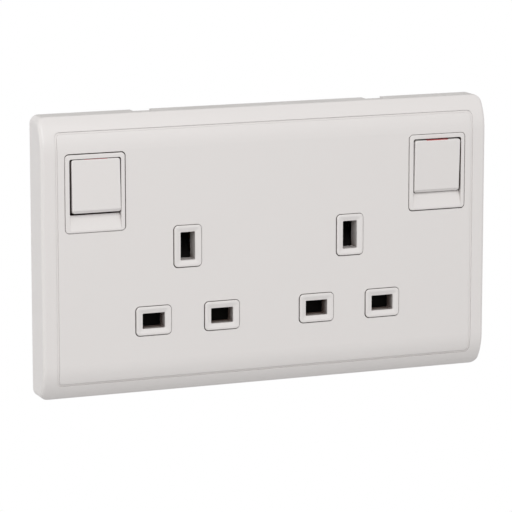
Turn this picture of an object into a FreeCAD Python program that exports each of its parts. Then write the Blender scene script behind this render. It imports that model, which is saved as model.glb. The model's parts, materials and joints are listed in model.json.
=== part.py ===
import FreeCAD, Part
import math
import os
import re

import Sketcher
from FreeCAD import Placement, Rotation, Vector

# A twin switched socket outlet: a clip-on front cover over a moulded frame, with the
# working parts in a housing behind the wall plane.
# X runs to the right, Z runs up and the front faces -Y. The wall plane is Y = 0 and the
# origin is the middle of the plate on that plane. A "forward" size is measured from the
# wall plane towards the viewer, a "back" size from the wall plane into the wall box.

doc = FreeCAD.newDocument("twin_socket")

# Driving dimensions in millimetres and degrees: name, value, what it sets
SIZES = [
    ("plate_width", 146.0, "overall width of the cover"),
    ("plate_height", 86.0, "overall height of the cover"),
    ("plate_corner", 2.6, "corner radius of the cover"),
    ("plate_face", 10.6, "distance of the cover's flat face from the wall plane"),
    ("arch_start", 32.5, "height at which the face begins to curve back"),
    ("arch_radius", 15.0, "radius of the face's curve at top and bottom"),
    ("rim_round", 1.2, "rounding of the cover's outer edge"),
    ("border_width", 4.45, "width of the border outside the groove"),
    ("groove_width", 0.65, "width of the groove round the panel"),
    ("groove_depth", 0.4, "depth of the groove"),
    ("groove_corner", 1.7, "corner radius of the groove's outer side"),
    ("cover_wall", 1.8, "thickness of the cover's side wall"),
    ("cover_face", 1.8, "thickness of the cover's face"),
    ("cover_gap", 0.3, "clearance between the cover and the frame"),
    ("island_gap", 0.2, "clearance round each island that passes through the cover"),
    ("island_stand", 0.4, "height of the islands above the panel"),
    ("notch_width", 6.3, "width of a prising notch"),
    ("notch_depth", 3.4, "depth of a prising notch"),
    ("notch_place", 38.2, "distance of a prising notch from the middle"),
    ("small_corner", 0.4, "corner radius of small openings and posts"),
    ("frame_wall", 2.0, "wall thickness of the frame"),
    ("frame_corner", 1.5, "corner radius of the frame"),
    ("inner_corner", 0.5, "corner radius inside a moulding"),
    ("skirt_depth", 5.2, "depth of the frame's outer skirt"),
    ("web_inset", 4.7, "distance of the raised web from the skirt's ends"),
    ("web_lap", 1.0, "length of the web beyond the flat of the face"),
    ("rib_thick", 1.2, "thickness of a stiffening rib"),
    ("rib_depth", 2.4, "depth of a stiffening rib"),
    ("rib_near", 20.0, "distance of the inner ribs from the middle"),
    ("rib_far", 50.0, "distance of the outer ribs from the middle"),
    ("web", 2.2, "thickness of the frame's front web"),
    ("collar_width", 108.0, "width of the collar that carries the housing"),
    ("collar_height", 66.0, "height of the collar that carries the housing"),
    ("collar_corner", 2.0, "corner radius of the collar and the housing"),
    ("fixing_spacing", 120.6, "distance between the box screws"),
    ("fixing_hole", 3.9, "diameter of a box screw hole"),
    ("fixing_head", 7.6, "diameter of the seat for a screw head"),
    ("head_seat", 3.2, "depth of the seat for a screw head"),
    ("fixing_boss", 11.0, "diameter of the boss round a box screw"),
    ("socket_pitch", 53.5, "distance between the two sockets"),
    ("pin_spread", 22.2, "distance between the line and neutral pins"),
    ("earth_rise", 22.2, "height of the earth pin above the other two"),
    ("pin_line", 20.2, "distance of the lower pins below the middle"),
    ("flat_hole_width", 7.2, "width of a line or neutral hole"),
    ("flat_hole_height", 4.75, "height of a line or neutral hole"),
    ("earth_hole_width", 4.7, "width of an earth hole"),
    ("earth_hole_height", 8.65, "height of an earth hole"),
    ("hole_corner", 0.25, "corner radius of a pin hole"),
    ("bezel_margin", 2.05, "width of the raised rim round a pin hole"),
    ("bezel_corner", 1.25, "corner radius of a bezel"),
    ("dish_width", 1.25, "width of the dished lead-in of a pin hole"),
    ("dish_depth", 0.35, "depth of the dished lead-in of a pin hole"),
    ("dish_corner", 0.8, "corner radius of the dish at the surface"),
    ("throat_margin", 0.15, "margin of the dish's floor round a pin hole"),
    ("edge_round", 0.35, "rounding of the raised islands"),
    ("window_side", 1.6, "margin of a socket insert round its bezels"),
    ("window_corner", 1.0, "corner radius of a socket insert's window"),
    ("insert_gap", 0.1, "clearance of a socket insert in its window"),
    ("flange_lap", 1.0, "overlap of an insert's flange behind the web"),
    ("flange_thick", 1.4, "thickness of an insert's flange"),
    ("switch_place", 56.2, "distance of a switch from the middle"),
    ("switch_height", 20.0, "height of a switch frame's centre"),
    ("switch_frame_width", 18.85, "width of a switch frame"),
    ("switch_frame_height", 23.6, "height of a switch frame"),
    ("switch_frame_corner", 1.15, "corner radius of a switch frame"),
    ("switch_rail", 1.3, "width of a switch frame's side rail"),
    ("well_height", 17.05, "height of the opening that holds the rocker"),
    ("well_corner", 0.6, "corner radius of the opening that holds the rocker"),
    ("ramp_depth", 1.3, "depth of the finger ramp at the rocker"),
    ("ramp_lip", 0.7, "height of the flat rim below the finger ramp"),
    ("rocker_width", 15.2, "width of a rocker"),
    ("rocker_height", 16.2, "height of a rocker"),
    ("rocker_corner", 0.8, "corner radius of a rocker seen from the front"),
    ("rocker_face", 11.5, "distance of a level rocker's face from the wall plane"),
    ("rocker_pivot", 7.5, "distance of the rocker's pivot from the wall plane"),
    ("rocker_skirt", 5.6, "depth of the rocker's sides"),
    ("rocker_shell", 1.6, "thickness of the rocker's shell"),
    ("rocker_tilt", 2.5, "tilt of a rocker each way from level"),
    ("rocker_round", 0.4, "rounding of the rocker's edges"),
    ("toe_height", 0.9, "height of the chamfer on a rocker's lower edge"),
    ("toe_depth", 0.6, "depth of the chamfer on a rocker's lower edge"),
    ("trunnion", 2.6, "diameter of a rocker's pivot pin"),
    ("trunnion_length", 1.4, "length of a rocker's pivot pin"),
    ("running_gap", 0.05, "radial clearance of a pivot pin"),
    ("stem_size", 5.2, "width of the rocker's hollow stem"),
    ("stem_reach", 5.5, "length of the stem behind the pivot"),
    ("plunger_size", 3.0, "diameter of the plunger"),
    ("plunger_gap", 0.1, "radial clearance of the plunger in its stem"),
    ("plunger_length", 8.4, "length of the plunger"),
    ("plunger_clear", 0.15, "clearance between a plunger and the rocking contact"),
    ("plunger_flat", 0.3, "radius of the flat on a plunger's tip"),
    ("plunger_turns", 5, "number of turns of a plunger's spring"),
    ("spring_wire", 0.35, "diameter of the spring wire"),
    ("end_gap", 0.2, "clearance at each end of a spring"),
    ("flag_width", 7.4, "width of the red flag"),
    ("flag_thick", 1.1, "thickness of the red flag"),
    ("flag_sink", 0.5, "depth of the red flag in the rocker"),
    ("flag_stand", 0.03, "height of the red flag above the rocker's top"),
    ("flag_lead", 0.42, "distance of the red flag behind the rocker's face"),
    ("flag_corner", 0.2, "corner radius of the red flag"),
    ("flag_fit", 0.01, "clearance round the red flag"),
    ("shutter_thick", 2.3, "thickness of a shutter"),
    ("shutter_gap", 0.2, "clearance in front of a shutter"),
    ("shutter_lap", 0.4, "overlap of a shutter round a pin hole"),
    ("shutter_travel", 5.3, "travel of a shutter"),
    ("shutter_stem", 7.6, "width of a shutter's stem"),
    ("shutter_slope", 1.5, "height of the slope between a shutter's blade and stem"),
    ("shutter_cam", 7.6, "depth of the sloping cam behind the earth hole"),
    ("cam_lead", 1.2, "height of the cam below the earth hole"),
    ("cam_start", 0.2, "height of the cam's slope above the earth hole's lower edge"),
    ("cam_tip", 0.8, "thickness of the cam's thin end"),
    ("bed_gap", 0.2, "clearance round a shutter in its bed"),
    ("rail_width", 2.0, "width of a rail beside a shutter"),
    ("shutter_spring", 2.2, "diameter of a shutter spring"),
    ("shutter_turns", 6, "number of turns of a shutter's spring"),
    ("spring_play", 0.3, "clearance beside a shutter spring"),
    ("slot_land", 2.4, "height of a shutter between its slot and the earth hole"),
    ("slot_rise", 0.4, "height of the slot's lower end above the blade"),
    ("peg_height", 1.2, "height of the peg below a shutter spring"),
    ("housing_depth", 22.0, "depth of the housing behind the wall plane"),
    ("housing_wall", 2.0, "thickness of the housing's wall"),
    ("ear_reach", 10.6, "width of the housing's ears behind the switches"),
    ("ear_height", 21.4, "height of the housing's ears"),
    ("ear_corner", 1.5, "corner radius of the housing's ears"),
    ("post_width", 4.0, "width of a post below a brass strip"),
    ("post_height", 3.4, "height of a post below a brass strip"),
    ("post_rise", 8.0, "height of the line contacts' posts above the lower pins"),
    ("feed_post", 32.1, "distance of the feed strip's posts from the middle"),
    ("throat_width", 5.8, "width of a cable throat"),
    ("throat_depth", 8.0, "depth of a cable throat"),
    ("strip", 0.8, "thickness of the brass strips"),
    ("strap", 4.0, "width of the brass straps"),
    ("leaf_gap", 0.15, "clearance between a leaf and a plug pin"),
    ("leaf_start", 4.2, "back distance at which the contact leaves start"),
    ("flat_pin", 4.0, "thickness of a plug pin"),
    ("flat_leaf", 6.0, "width of a line or neutral leaf"),
    ("earth_leaf", 7.0, "height of an earth leaf"),
    ("feed_back", 9.0, "back distance of the line feed bar"),
    ("feed_drop", 4.4, "distance of the feed strip below the rockers' pivots"),
    ("feed_height", 3.6, "height of the feed strip"),
    ("seat_side", 1.8, "reach of a feed seat beyond the rocking contact"),
    ("seat_drop", 0.6, "distance of a feed seat's middle below the pivot"),
    ("seat_height", 4.8, "height of a feed seat"),
    ("bracket_side", 0.9, "distance of a pivot bracket from the rocking contact"),
    ("bracket_rim", 1.2, "reach of a pivot bracket in front of the pivot"),
    ("bracket_height", 3.0, "height of a pivot bracket"),
    ("riser_height", 7.0, "height of the feed bar's riser"),
    ("riser_drop", 0.6, "distance of the riser's middle below the terminals"),
    ("shelf_rise", 1.2, "height of the feed bar's shelf above the terminals' lower face"),
    ("tab_rise", 3.0, "height of the feed bar's tab above the terminals' lower face"),
    ("tab_height", 4.4, "height of the feed bar's tab"),
    ("earth_back", 12.4, "back distance of the earth bar"),
    ("live_back", 13.8, "back distance of the line contact strips"),
    ("live_rise", 11.0, "height of a line strip above the lower pins"),
    ("column_inset", 6.6, "distance of an upright line strip from the switch's middle"),
    ("column_width", 2.4, "width of an upright line strip"),
    ("neutral_back", 17.0, "back distance of the neutral bar"),
    ("arm_drop", 6.0, "distance of the neutral arm below the terminals"),
    ("tail_height", 8.0, "height of the neutral bar's end at its terminal"),
    ("terminal_width", 7.4, "width of a terminal block"),
    ("terminal_length", 8.2, "length of a terminal block"),
    ("terminal_depth", 7.4, "depth of a terminal block"),
    ("terminal_bottom", 22.4, "height of the lower face of the terminal blocks"),
    ("terminal_outer", 15.0, "distance of the line and neutral terminals from the middle"),
    ("terminal_inner", 4.7, "distance of the earth terminals from the middle"),
    ("terminal_gap", 0.3, "clearance round a terminal in the housing"),
    ("wire_bore", 4.4, "diameter of a wire bore"),
    ("bore_inset", 3.3, "distance of a wire bore behind its terminal's front"),
    ("bore_floor", 1.0, "thickness of the metal below a wire bore"),
    ("screw_shank", 3.4, "diameter of a terminal screw"),
    ("screw_head", 5.2, "diameter of a terminal screw's head"),
    ("screw_head_height", 1.3, "height of a terminal screw's head"),
    ("screw_slot", 0.8, "width of a screwdriver slot"),
    ("rocking_back", 6.6, "back distance of the rocking contact's pivot"),
    ("rocking_length", 13.6, "length of the rocking contact"),
    ("rocking_width", 5.0, "width of the rocking contact"),
    ("rocking_thick", 0.9, "thickness of the rocking contact"),
    ("rocking_corner", 1.0, "corner radius of the rocking contact"),
    ("rocking_pin", 1.2, "diameter of the rocking contact's pin"),
    ("rocking_pin_end", 1.3, "reach of the pin beyond the rocking contact"),
    ("rocking_tilt", 4.4, "tilt of the rocking contact each way from level"),
    ("rivet_size", 2.8, "diameter of a contact rivet"),
    ("rivet_height", 0.9, "height of a contact rivet"),
    ("rivet_place", 5.4, "distance of a contact rivet from the pivot"),
    ("rivet_gap", 0.12, "gap left between closed rivets"),
    ("rivet_swing", 0.42, "movement of the moving rivet as its contact tilts"),
    ("assembly_screw", 2.6, "diameter of an assembly screw"),
    ("screw_play", 0.1, "radial clearance round an assembly screw"),
    ("screw_inset", 0.5, "distance of an assembly screw's end behind the frame's web"),
    ("assembly_head", 5.0, "diameter of an assembly screw's head"),
    ("assembly_head_height", 1.8, "height of an assembly screw's head"),
    ("head_play", 0.2, "radial clearance round an assembly screw's head"),
    ("assembly_pillar", 7.4, "diameter of the pillar round an assembly screw"),
    ("assembly_lower", 50.3, "distance of a lower assembly screw from the middle line"),
    ("assembly_upper", 37.0, "distance of an upper assembly screw from the middle line"),
    ("assembly_z", 27.5, "height of an assembly screw from the middle line"),
    ("screw_seat", 4.0, "back distance of the seat under an assembly screw's head"),
]

# Places worked out from the driving dimensions: name, formula
PLACES = [
    ("arch_centre", "plate_face - arch_radius"),
    ("island_face", "plate_face + island_stand"),
    ("groove_width_x", "plate_width - 2 * border_width"),
    ("groove_height_z", "plate_height - 2 * border_width"),
    ("frame_width", "plate_width - 2 * cover_wall - 2 * cover_gap"),
    ("frame_height", "plate_height - 2 * cover_wall - 2 * cover_gap"),
    ("frame_front", "plate_face - cover_face - cover_gap"),
    ("skirt_back", "skirt_depth - frame_wall"),
    ("web_width", "frame_width - 2 * web_inset"),
    ("web_height", "2 * arch_start + 2 * web_lap"),
    ("web_back", "frame_front - web"),
    ("earth_z", "earth_rise - pin_line"),
    ("flat_bezel_width", "flat_hole_width + 2 * bezel_margin"),
    ("flat_bezel_height", "flat_hole_height + 2 * bezel_margin"),
    ("earth_bezel_width", "earth_hole_width + 2 * bezel_margin"),
    ("earth_bezel_height", "earth_hole_height + 2 * bezel_margin"),
    ("window_width", "pin_spread + flat_bezel_width + 2 * window_side"),
    ("window_top", "earth_z + earth_bezel_height / 2 + window_side"),
    ("window_bottom", "0 - pin_line - flat_bezel_height / 2 - window_side"),
    ("window_height", "window_top - window_bottom"),
    ("window_z", "(window_top + window_bottom) / 2"),
    ("flange_back", "web_back - flange_thick"),
    ("shutter_front", "web_back - shutter_gap"),
    ("shutter_back", "shutter_front - shutter_thick"),
    ("blade_height", "flat_hole_height + 2 * shutter_lap"),
    ("blade_width", "pin_spread + flat_hole_width + 2 * shutter_lap"),
    ("blade_top", "0 - pin_line + blade_height / 2"),
    ("blade_bottom", "0 - pin_line - blade_height / 2"),
    ("cam_bottom", "earth_z - earth_hole_height / 2"),
    ("cam_top", "earth_z + earth_hole_height / 2 + shutter_lap"),
    ("bed_width", "blade_width + 2 * bed_gap"),
    ("bed_top", "cam_top + bed_gap"),
    ("bed_bottom", "blade_bottom - shutter_travel - bed_gap"),
    ("slot_top", "cam_bottom - slot_land"),
    ("slot_bottom", "blade_top + slot_rise"),
    ("peg_top", "slot_bottom + end_gap + peg_height"),
    ("switch_top", "switch_height + switch_frame_height / 2"),
    ("switch_bottom", "switch_height - switch_frame_height / 2"),
    ("well_width", "switch_frame_width - 2 * switch_rail"),
    ("well_top", "switch_top - switch_rail"),
    ("well_z", "well_top - well_height / 2"),
    ("well_bottom", "well_top - well_height"),
    ("rib_inner", "collar_height / 2 - frame_wall / 2"),
    ("rib_outer", "frame_height / 2 - frame_wall / 2"),
    ("floor_back", "housing_depth - housing_wall"),
    ("rocking_front", "rocking_back - rocking_thick / 2"),
    ("rocker_rise", "rocker_face - rocker_pivot"),
    ("bore_end", "rocker_rise - 2 * rocker_shell"),
    ("plunger_reach", "rocker_pivot + rocking_front - plunger_clear"),
    ("fixed_back", "rocking_back + rocking_thick / 2 + 2 * rivet_height + rivet_gap + rivet_swing"),
    ("flat_leaf_place", "flat_pin / 2 + leaf_gap + strip / 2"),
    ("terminal_front", "earth_back + strip"),
    ("terminal_back", "terminal_front + terminal_depth"),
    ("terminal_z", "terminal_bottom + terminal_length / 2"),
    ("wire_back", "terminal_front + bore_inset"),
]

SHEET_NAMES = {}

# Points nearer than this count as touching, in millimetres
TOUCH = 0.01


def add_sheet(name, rows, as_formula):
    """Write one sheet of named cells: name, value or formula, note."""
    sheet = doc.addObject("Spreadsheet::Sheet", name)
    for number, row in enumerate(rows, start=1):
        sheet.set("A%d" % number, row[0])
        sheet.set("B%d" % number, "=" + bind(row[1]) if as_formula else str(row[1]))
        sheet.setAlias("B%d" % number, row[0])
        if len(row) > 2:
            sheet.set("C%d" % number, row[2])
        SHEET_NAMES[row[0]] = name
    doc.recompute()
    return sheet


def bind(text):
    """Point each named size in an expression at the sheet that holds it."""
    def point(match):
        word = match.group(0)
        return SHEET_NAMES[word] + "." + word if word in SHEET_NAMES else word
    return re.sub(r"[a-z][a-z_]*", point, text)


sizes = add_sheet("Sizes", SIZES, False)
places = add_sheet("Places", PLACES, True)


def size(name):
    """The present value of a named size or place."""
    sheet = sizes if SHEET_NAMES[name] == "Sizes" else places
    return float(sheet.get(name))


def value(text):
    """The present value of an expression of named sizes."""
    words = re.sub(r"[a-z][a-z_]*", lambda match: repr(size(match.group(0))), text)
    total = FreeCAD.Units.parseQuantity(words)
    return total.Value


# Sketch and feature helpers

def new_body(label):
    body = doc.addObject("PartDesign::Body", label)
    body.Label = label
    return body


def place_at(item, x="0", y="0", z="0"):
    """Bind an object's place to expressions."""
    for axis, text in (("x", x), ("y", y), ("z", z)):
        item.setExpression("Placement.Base." + axis, bind(text))
    return item


def new_sketch(body, plane, x="0", y="0", lift="0"):
    """A sketch on an origin plane, moved within it by x and y and along its normal by lift."""
    sketch = body.newObject("Sketcher::SketchObject", body.Name + "_sketch")
    for feature in body.Origin.OriginFeatures:
        if feature.Role == plane:
            sketch.AttachmentSupport = [(feature, "")]
    sketch.MapMode = "FlatFace"
    for axis, text in (("x", x), ("y", y), ("z", lift)):
        sketch.setExpression("AttachmentOffset.Base." + axis, bind(text))
    sketch.Visibility = False
    return sketch


def name_constraint(sketch, number, name, text):
    sketch.renameConstraint(number, name)
    sketch.setExpression("Constraints." + name, bind(text))


def draw_rounded(sketch, width, height, corner):
    """A rectangle with rounded corners, centred on the sketch's origin."""
    half_w = value(width) / 2
    half_h = value(height) / 2
    radius = value(corner)
    in_w = half_w - radius
    in_h = half_h - radius
    sides = [
        (Vector(-in_w, -half_h), Vector(in_w, -half_h)),
        (Vector(half_w, -in_h), Vector(half_w, in_h)),
        (Vector(in_w, half_h), Vector(-in_w, half_h)),
        (Vector(-half_w, in_h), Vector(-half_w, -in_h)),
    ]
    corners = [(in_w, -in_h, -90), (in_w, in_h, 0), (-in_w, in_h, 90), (-in_w, -in_h, 180)]
    first = sketch.addGeometry([Part.LineSegment(*side) for side in sides], False)[0]
    for x, y, start in corners:
        circle = Part.Circle(Vector(x, y), Vector(0, 0, 1), radius)
        arc = Part.ArcOfCircle(circle, math.radians(start), math.radians(start + 90))
        sketch.addGeometry(arc, False)
    rules = []
    for index in range(4):
        side = first + index
        arc = first + 4 + index
        following = first + (index + 1) % 4
        rules.append(Sketcher.Constraint("Tangent", side, 2, arc, 1))
        rules.append(Sketcher.Constraint("Tangent", arc, 2, following, 1))
        rules.append(Sketcher.Constraint("Vertical" if index % 2 else "Horizontal", side))
        if index:
            rules.append(Sketcher.Constraint("Equal", first + 4, arc))
    rules.append(Sketcher.Constraint("Symmetric", first + 4, 3, first + 6, 3, -1, 1))
    sketch.addConstraint(rules)
    round_rule = sketch.addConstraint(Sketcher.Constraint("Radius", first + 4, radius))
    wide = Sketcher.Constraint("DistanceX", first + 3, 1, first + 1, 1, 2 * half_w)
    wide_rule = sketch.addConstraint(wide)
    tall = Sketcher.Constraint("DistanceY", first, 1, first + 2, 1, 2 * half_h)
    tall_rule = sketch.addConstraint(tall)
    name_constraint(sketch, round_rule, "corner%d" % first, corner)
    name_constraint(sketch, wide_rule, "width%d" % first, width)
    name_constraint(sketch, tall_rule, "height%d" % first, height)


def draw_points(sketch, points):
    """A closed outline of straight sides through points given as pairs of expressions."""
    spots = [Vector(value(x), value(y)) for x, y in points]
    count = len(spots)
    first = sketch.GeometryCount
    for index in range(count):
        sketch.addGeometry(Part.LineSegment(spots[index], spots[(index + 1) % count]), False)
    for index in range(count):
        following = first + (index + 1) % count
        sketch.addConstraint(Sketcher.Constraint("Coincident", first + index, 2, following, 1))
    for index, (x, y) in enumerate(points):
        line = first + index
        across = sketch.addConstraint(
            Sketcher.Constraint("DistanceX", -1, 1, line, 1, spots[index].x))
        name_constraint(sketch, across, "x%d" % line, x)
        upward = sketch.addConstraint(
            Sketcher.Constraint("DistanceY", -1, 1, line, 1, spots[index].y))
        name_constraint(sketch, upward, "y%d" % line, y)


def draw_circle(sketch, diameter):
    radius = value(diameter) / 2
    number = sketch.addGeometry(Part.Circle(Vector(0, 0), Vector(0, 0, 1), radius), False)
    sketch.addConstraint(Sketcher.Constraint("Coincident", number, 3, -1, 1))
    rule = sketch.addConstraint(Sketcher.Constraint("Diameter", number, 2 * radius))
    name_constraint(sketch, rule, "diameter", diameter)


def add_feature(body, kind, sketch, length, reverse=False, middle=False):
    """Pad or pocket a sketch by a bound length."""
    feature = body.newObject("PartDesign::" + kind, body.Name + "_" + kind.lower())
    feature.Profile = sketch
    feature.Reversed = reverse
    if middle:
        feature.SideType = "Symmetric"
    feature.setExpression("Length", bind(length))
    return feature


def pad(body, sketch, length, reverse=False, middle=False):
    return add_feature(body, "Pad", sketch, length, reverse, middle)


def pocket(body, sketch, length, reverse=False, middle=False):
    """Cut a sketch into the body; by default it cuts towards the back."""
    return add_feature(body, "Pocket", sketch, length, reverse, middle)


def rounded_pad(body, x, z, start, width, height, corner, length):
    """A rounded block that grows forward from the given forward distance."""
    sketch = new_sketch(body, "XZ_Plane", x, z, start)
    draw_rounded(sketch, width, height, corner)
    return pad(body, sketch, length)


def rounded_cut(body, x, z, front, width, height, corner, length):
    """A rounded hole cut backward from the given forward distance."""
    sketch = new_sketch(body, "XZ_Plane", x, z, front)
    draw_rounded(sketch, width, height, corner)
    return pocket(body, sketch, length)


def round_edges(body, radius, wanted):
    """Fillet the edges that a test of their points accepts."""
    doc.recompute()
    base = body.Tip
    names = []
    for number, edge in enumerate(base.Shape.Edges, start=1):
        ends = [edge.valueAt(edge.FirstParameter), edge.valueAt(edge.LastParameter)]
        middle = edge.valueAt((edge.FirstParameter + edge.LastParameter) / 2)
        if wanted(ends, middle):
            names.append("Edge%d" % number)
    fillet = body.newObject("PartDesign::Fillet", body.Name + "_fillet")
    fillet.Base = (base, names)
    fillet.setExpression("Radius", bind(radius))
    return fillet


def at_front(depth):
    """A test for edges that lie at one forward distance."""
    def wanted(ends, middle):
        return all(abs(point.y + depth) < TOUCH for point in ends + [middle])
    return wanted


# Solid helpers for the metal pieces and small mouldings

def block(label, x, y, z, width, depth, height):
    """A box given by its middle in X and Z, its front face in Y and its three sizes."""
    box = doc.addObject("Part::Box", label)
    box.setExpression("Length", bind(width))
    box.setExpression("Width", bind(depth))
    box.setExpression("Height", bind(height))
    place_at(box, "(%s) - (%s) / 2" % (x, width), y, "(%s) - (%s) / 2" % (z, height))
    return box


def rod(label, x, y, z, diameter, length, turn):
    """A cylinder from a point, along +Z turned by the given rotation."""
    cylinder = doc.addObject("Part::Cylinder", label)
    cylinder.Placement = Placement(Vector(), turn)
    cylinder.setExpression("Radius", bind("(%s) / 2" % diameter))
    cylinder.setExpression("Height", bind(length))
    return place_at(cylinder, x, y, z)


ALONG_X = Rotation(Vector(0, 1, 0), 90)
ALONG_Y = Rotation(Vector(1, 0, 0), -90)
ALONG_Z = Rotation()


def join(label, pieces):
    fused = doc.addObject("Part::MultiFuse", label)
    fused.Shapes = pieces
    fused.Refine = True
    return fused


def subtract(label, base, tools):
    result = doc.addObject("Part::Cut", label)
    result.Base = base
    result.Tool = tools[0] if len(tools) == 1 else join(label + "_tools", tools)
    result.Refine = True
    return result


SIDES = (("left", "0 - "), ("right", ""))

# Places of the four assembly screws as pairs of expressions
ASSEMBLY_SPOTS = []
for side_name, side_sign in SIDES:
    ASSEMBLY_SPOTS.append((side_sign + "assembly_upper", "assembly_z"))
    ASSEMBLY_SPOTS.append((side_sign + "assembly_lower", "0 - assembly_z"))

nodes = []


def keep(item, label):
    """Name a finished sub-part and put it on the list that is written out."""
    item.Label = label
    nodes.append(item)
    return item


# Pin holes of one socket: name, x from the socket's middle, z, hole and bezel sizes
PIN_HOLES = [
    ("earth", "0", "earth_z", "earth_hole_width", "earth_hole_height"),
    ("neutral", "0 - pin_spread / 2", "0 - pin_line", "flat_hole_width", "flat_hole_height"),
    ("live", "pin_spread / 2", "0 - pin_line", "flat_hole_width", "flat_hole_height"),
]


def arched_body(label, width, height, corner, drop):
    """A rounded block whose front curves back at top and bottom, set back by a drop."""
    body = new_body(label)
    rounded_pad(body, "0", "0", "0", width, height, corner, "plate_face - " + drop)
    for end in ("", "0 - "):
        sketch = new_sketch(body, "YZ_Plane")
        draw_arch_waste(sketch, drop, end)
        pocket(body, sketch, "2 * plate_width", middle=True)
    return body


def draw_arch_waste(sketch, drop, end):
    """The area in front of the face's curve, at the top or (with end "0 - ") the bottom."""
    sign = -1 if end else 1
    centre = Vector(-size("arch_centre"), sign * size("arch_start"))
    radius = size("arch_radius") - value(drop)
    beyond = sign * value("plate_height / 2 + cover_wall")
    front = -value("plate_face + cover_wall")
    sweep = math.asin((abs(beyond) - abs(centre.y)) / radius)
    angles = (math.pi - sweep, math.pi) if sign > 0 else (math.pi, math.pi + sweep)
    near, far = (2, 1) if sign > 0 else (1, 2)
    arc = Part.ArcOfCircle(Part.Circle(centre, Vector(0, 0, 1), radius), *angles)
    meet = Vector(centre.x - radius * math.cos(sweep), beyond)
    start = Vector(centre.x - radius, centre.y)
    sketch.addGeometry([
        arc,
        Part.LineSegment(meet, Vector(front, beyond)),
        Part.LineSegment(Vector(front, beyond), Vector(front, centre.y)),
        Part.LineSegment(Vector(front, centre.y), start),
    ], False)
    sketch.addConstraint([
        Sketcher.Constraint("Coincident", 0, far, 1, 1),
        Sketcher.Constraint("Coincident", 1, 2, 2, 1),
        Sketcher.Constraint("Coincident", 2, 2, 3, 1),
        Sketcher.Constraint("Coincident", 3, 2, 0, near),
        Sketcher.Constraint("Horizontal", 1),
        Sketcher.Constraint("Vertical", 2),
        Sketcher.Constraint("Horizontal", 3),
    ])
    for number, spot, kind, text in (
            (0, 3, "DistanceX", "0 - arch_centre"), (0, 3, "DistanceY", end + "arch_start"),
            (3, 2, "DistanceY", end + "arch_start"), (1, 2, "DistanceX", "0 - plate_face - cover_wall"),
            (1, 2, "DistanceY", end + "(plate_height / 2 + cover_wall)")):
        rule = sketch.addConstraint(Sketcher.Constraint(kind, -1, 1, number, spot, value(text)))
        name_constraint(sketch, rule, "%s%d%d" % (kind, number, spot), text)
    curve = sketch.addConstraint(Sketcher.Constraint("Radius", 0, radius))
    name_constraint(sketch, curve, "curve", "arch_radius - " + drop)


def on_cover_rim(point):
    """Whether a point lies on the outer edge of the cover's face."""
    corner = size("plate_corner")
    across = abs(point.x) - size("plate_width") / 2 + corner
    upward = abs(point.z) - size("plate_height") / 2 + corner
    rim = math.hypot(across, upward) if across > 0 and upward > 0 else max(across, upward)
    past = max(0.0, abs(point.z) - size("arch_start"))
    face = size("arch_centre") + math.sqrt(size("arch_radius") ** 2 - past ** 2)
    return abs(rim - corner) < TOUCH and abs(point.y + face) < TOUCH


def make_front_cover():
    """The clip-on cover: a hollow arched plate with a groove round its panel."""
    outside = arched_body("cover_outside", "plate_width", "plate_height", "plate_corner", "0")
    round_edges(outside, "rim_round", lambda ends, middle: all(map(on_cover_rim, ends + [middle])))
    cut_cover_openings(outside)
    for side, sign in SIDES:
        sketch = new_sketch(outside, "XZ_Plane", sign + "notch_place", "plate_height / 2", "notch_depth")
        draw_rounded(sketch, "notch_width", "3 * cover_wall", "small_corner")
        pocket(outside, sketch, "notch_depth")
    slim = " - 2 * cover_wall"
    inside = arched_body("cover_inside", "plate_width" + slim, "plate_height" + slim,
                         "plate_corner - cover_wall", "cover_face")
    # The groove is a ring as deep as the gap between the face and its set-back copy
    floor = arched_body("groove_floor", "plate_width", "plate_height", "plate_corner", "groove_depth")
    ring = new_body("groove_ring")
    outline = new_sketch(ring, "XZ_Plane")
    draw_rounded(outline, "groove_width_x", "groove_height_z", "groove_corner")
    draw_rounded(outline, "groove_width_x - 2 * groove_width", "groove_height_z - 2 * groove_width",
                 "groove_corner - groove_width")
    pad(ring, outline, "island_face")
    groove = subtract("groove", ring, [floor])
    keep(subtract("front_cover", outside, [inside, groove]), "front_cover")


def cut_cover_openings(cover):
    """Openings for the six bezels and the two switch frames."""
    for side, sign in SIDES:
        for name, x, z, width, height in PIN_HOLES:
            margin = " + 2 * bezel_margin + 2 * island_gap"
            rounded_cut(cover, sign + "socket_pitch / 2 + " + x, z, "island_face",
                        width + margin, height + margin, "bezel_corner + island_gap", "island_face")
        rounded_cut(cover, sign + "switch_place", "switch_height", "island_face",
                    "switch_frame_width + 2 * island_gap", "switch_frame_height + 2 * island_gap",
                    "switch_frame_corner + island_gap", "island_face")


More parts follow.
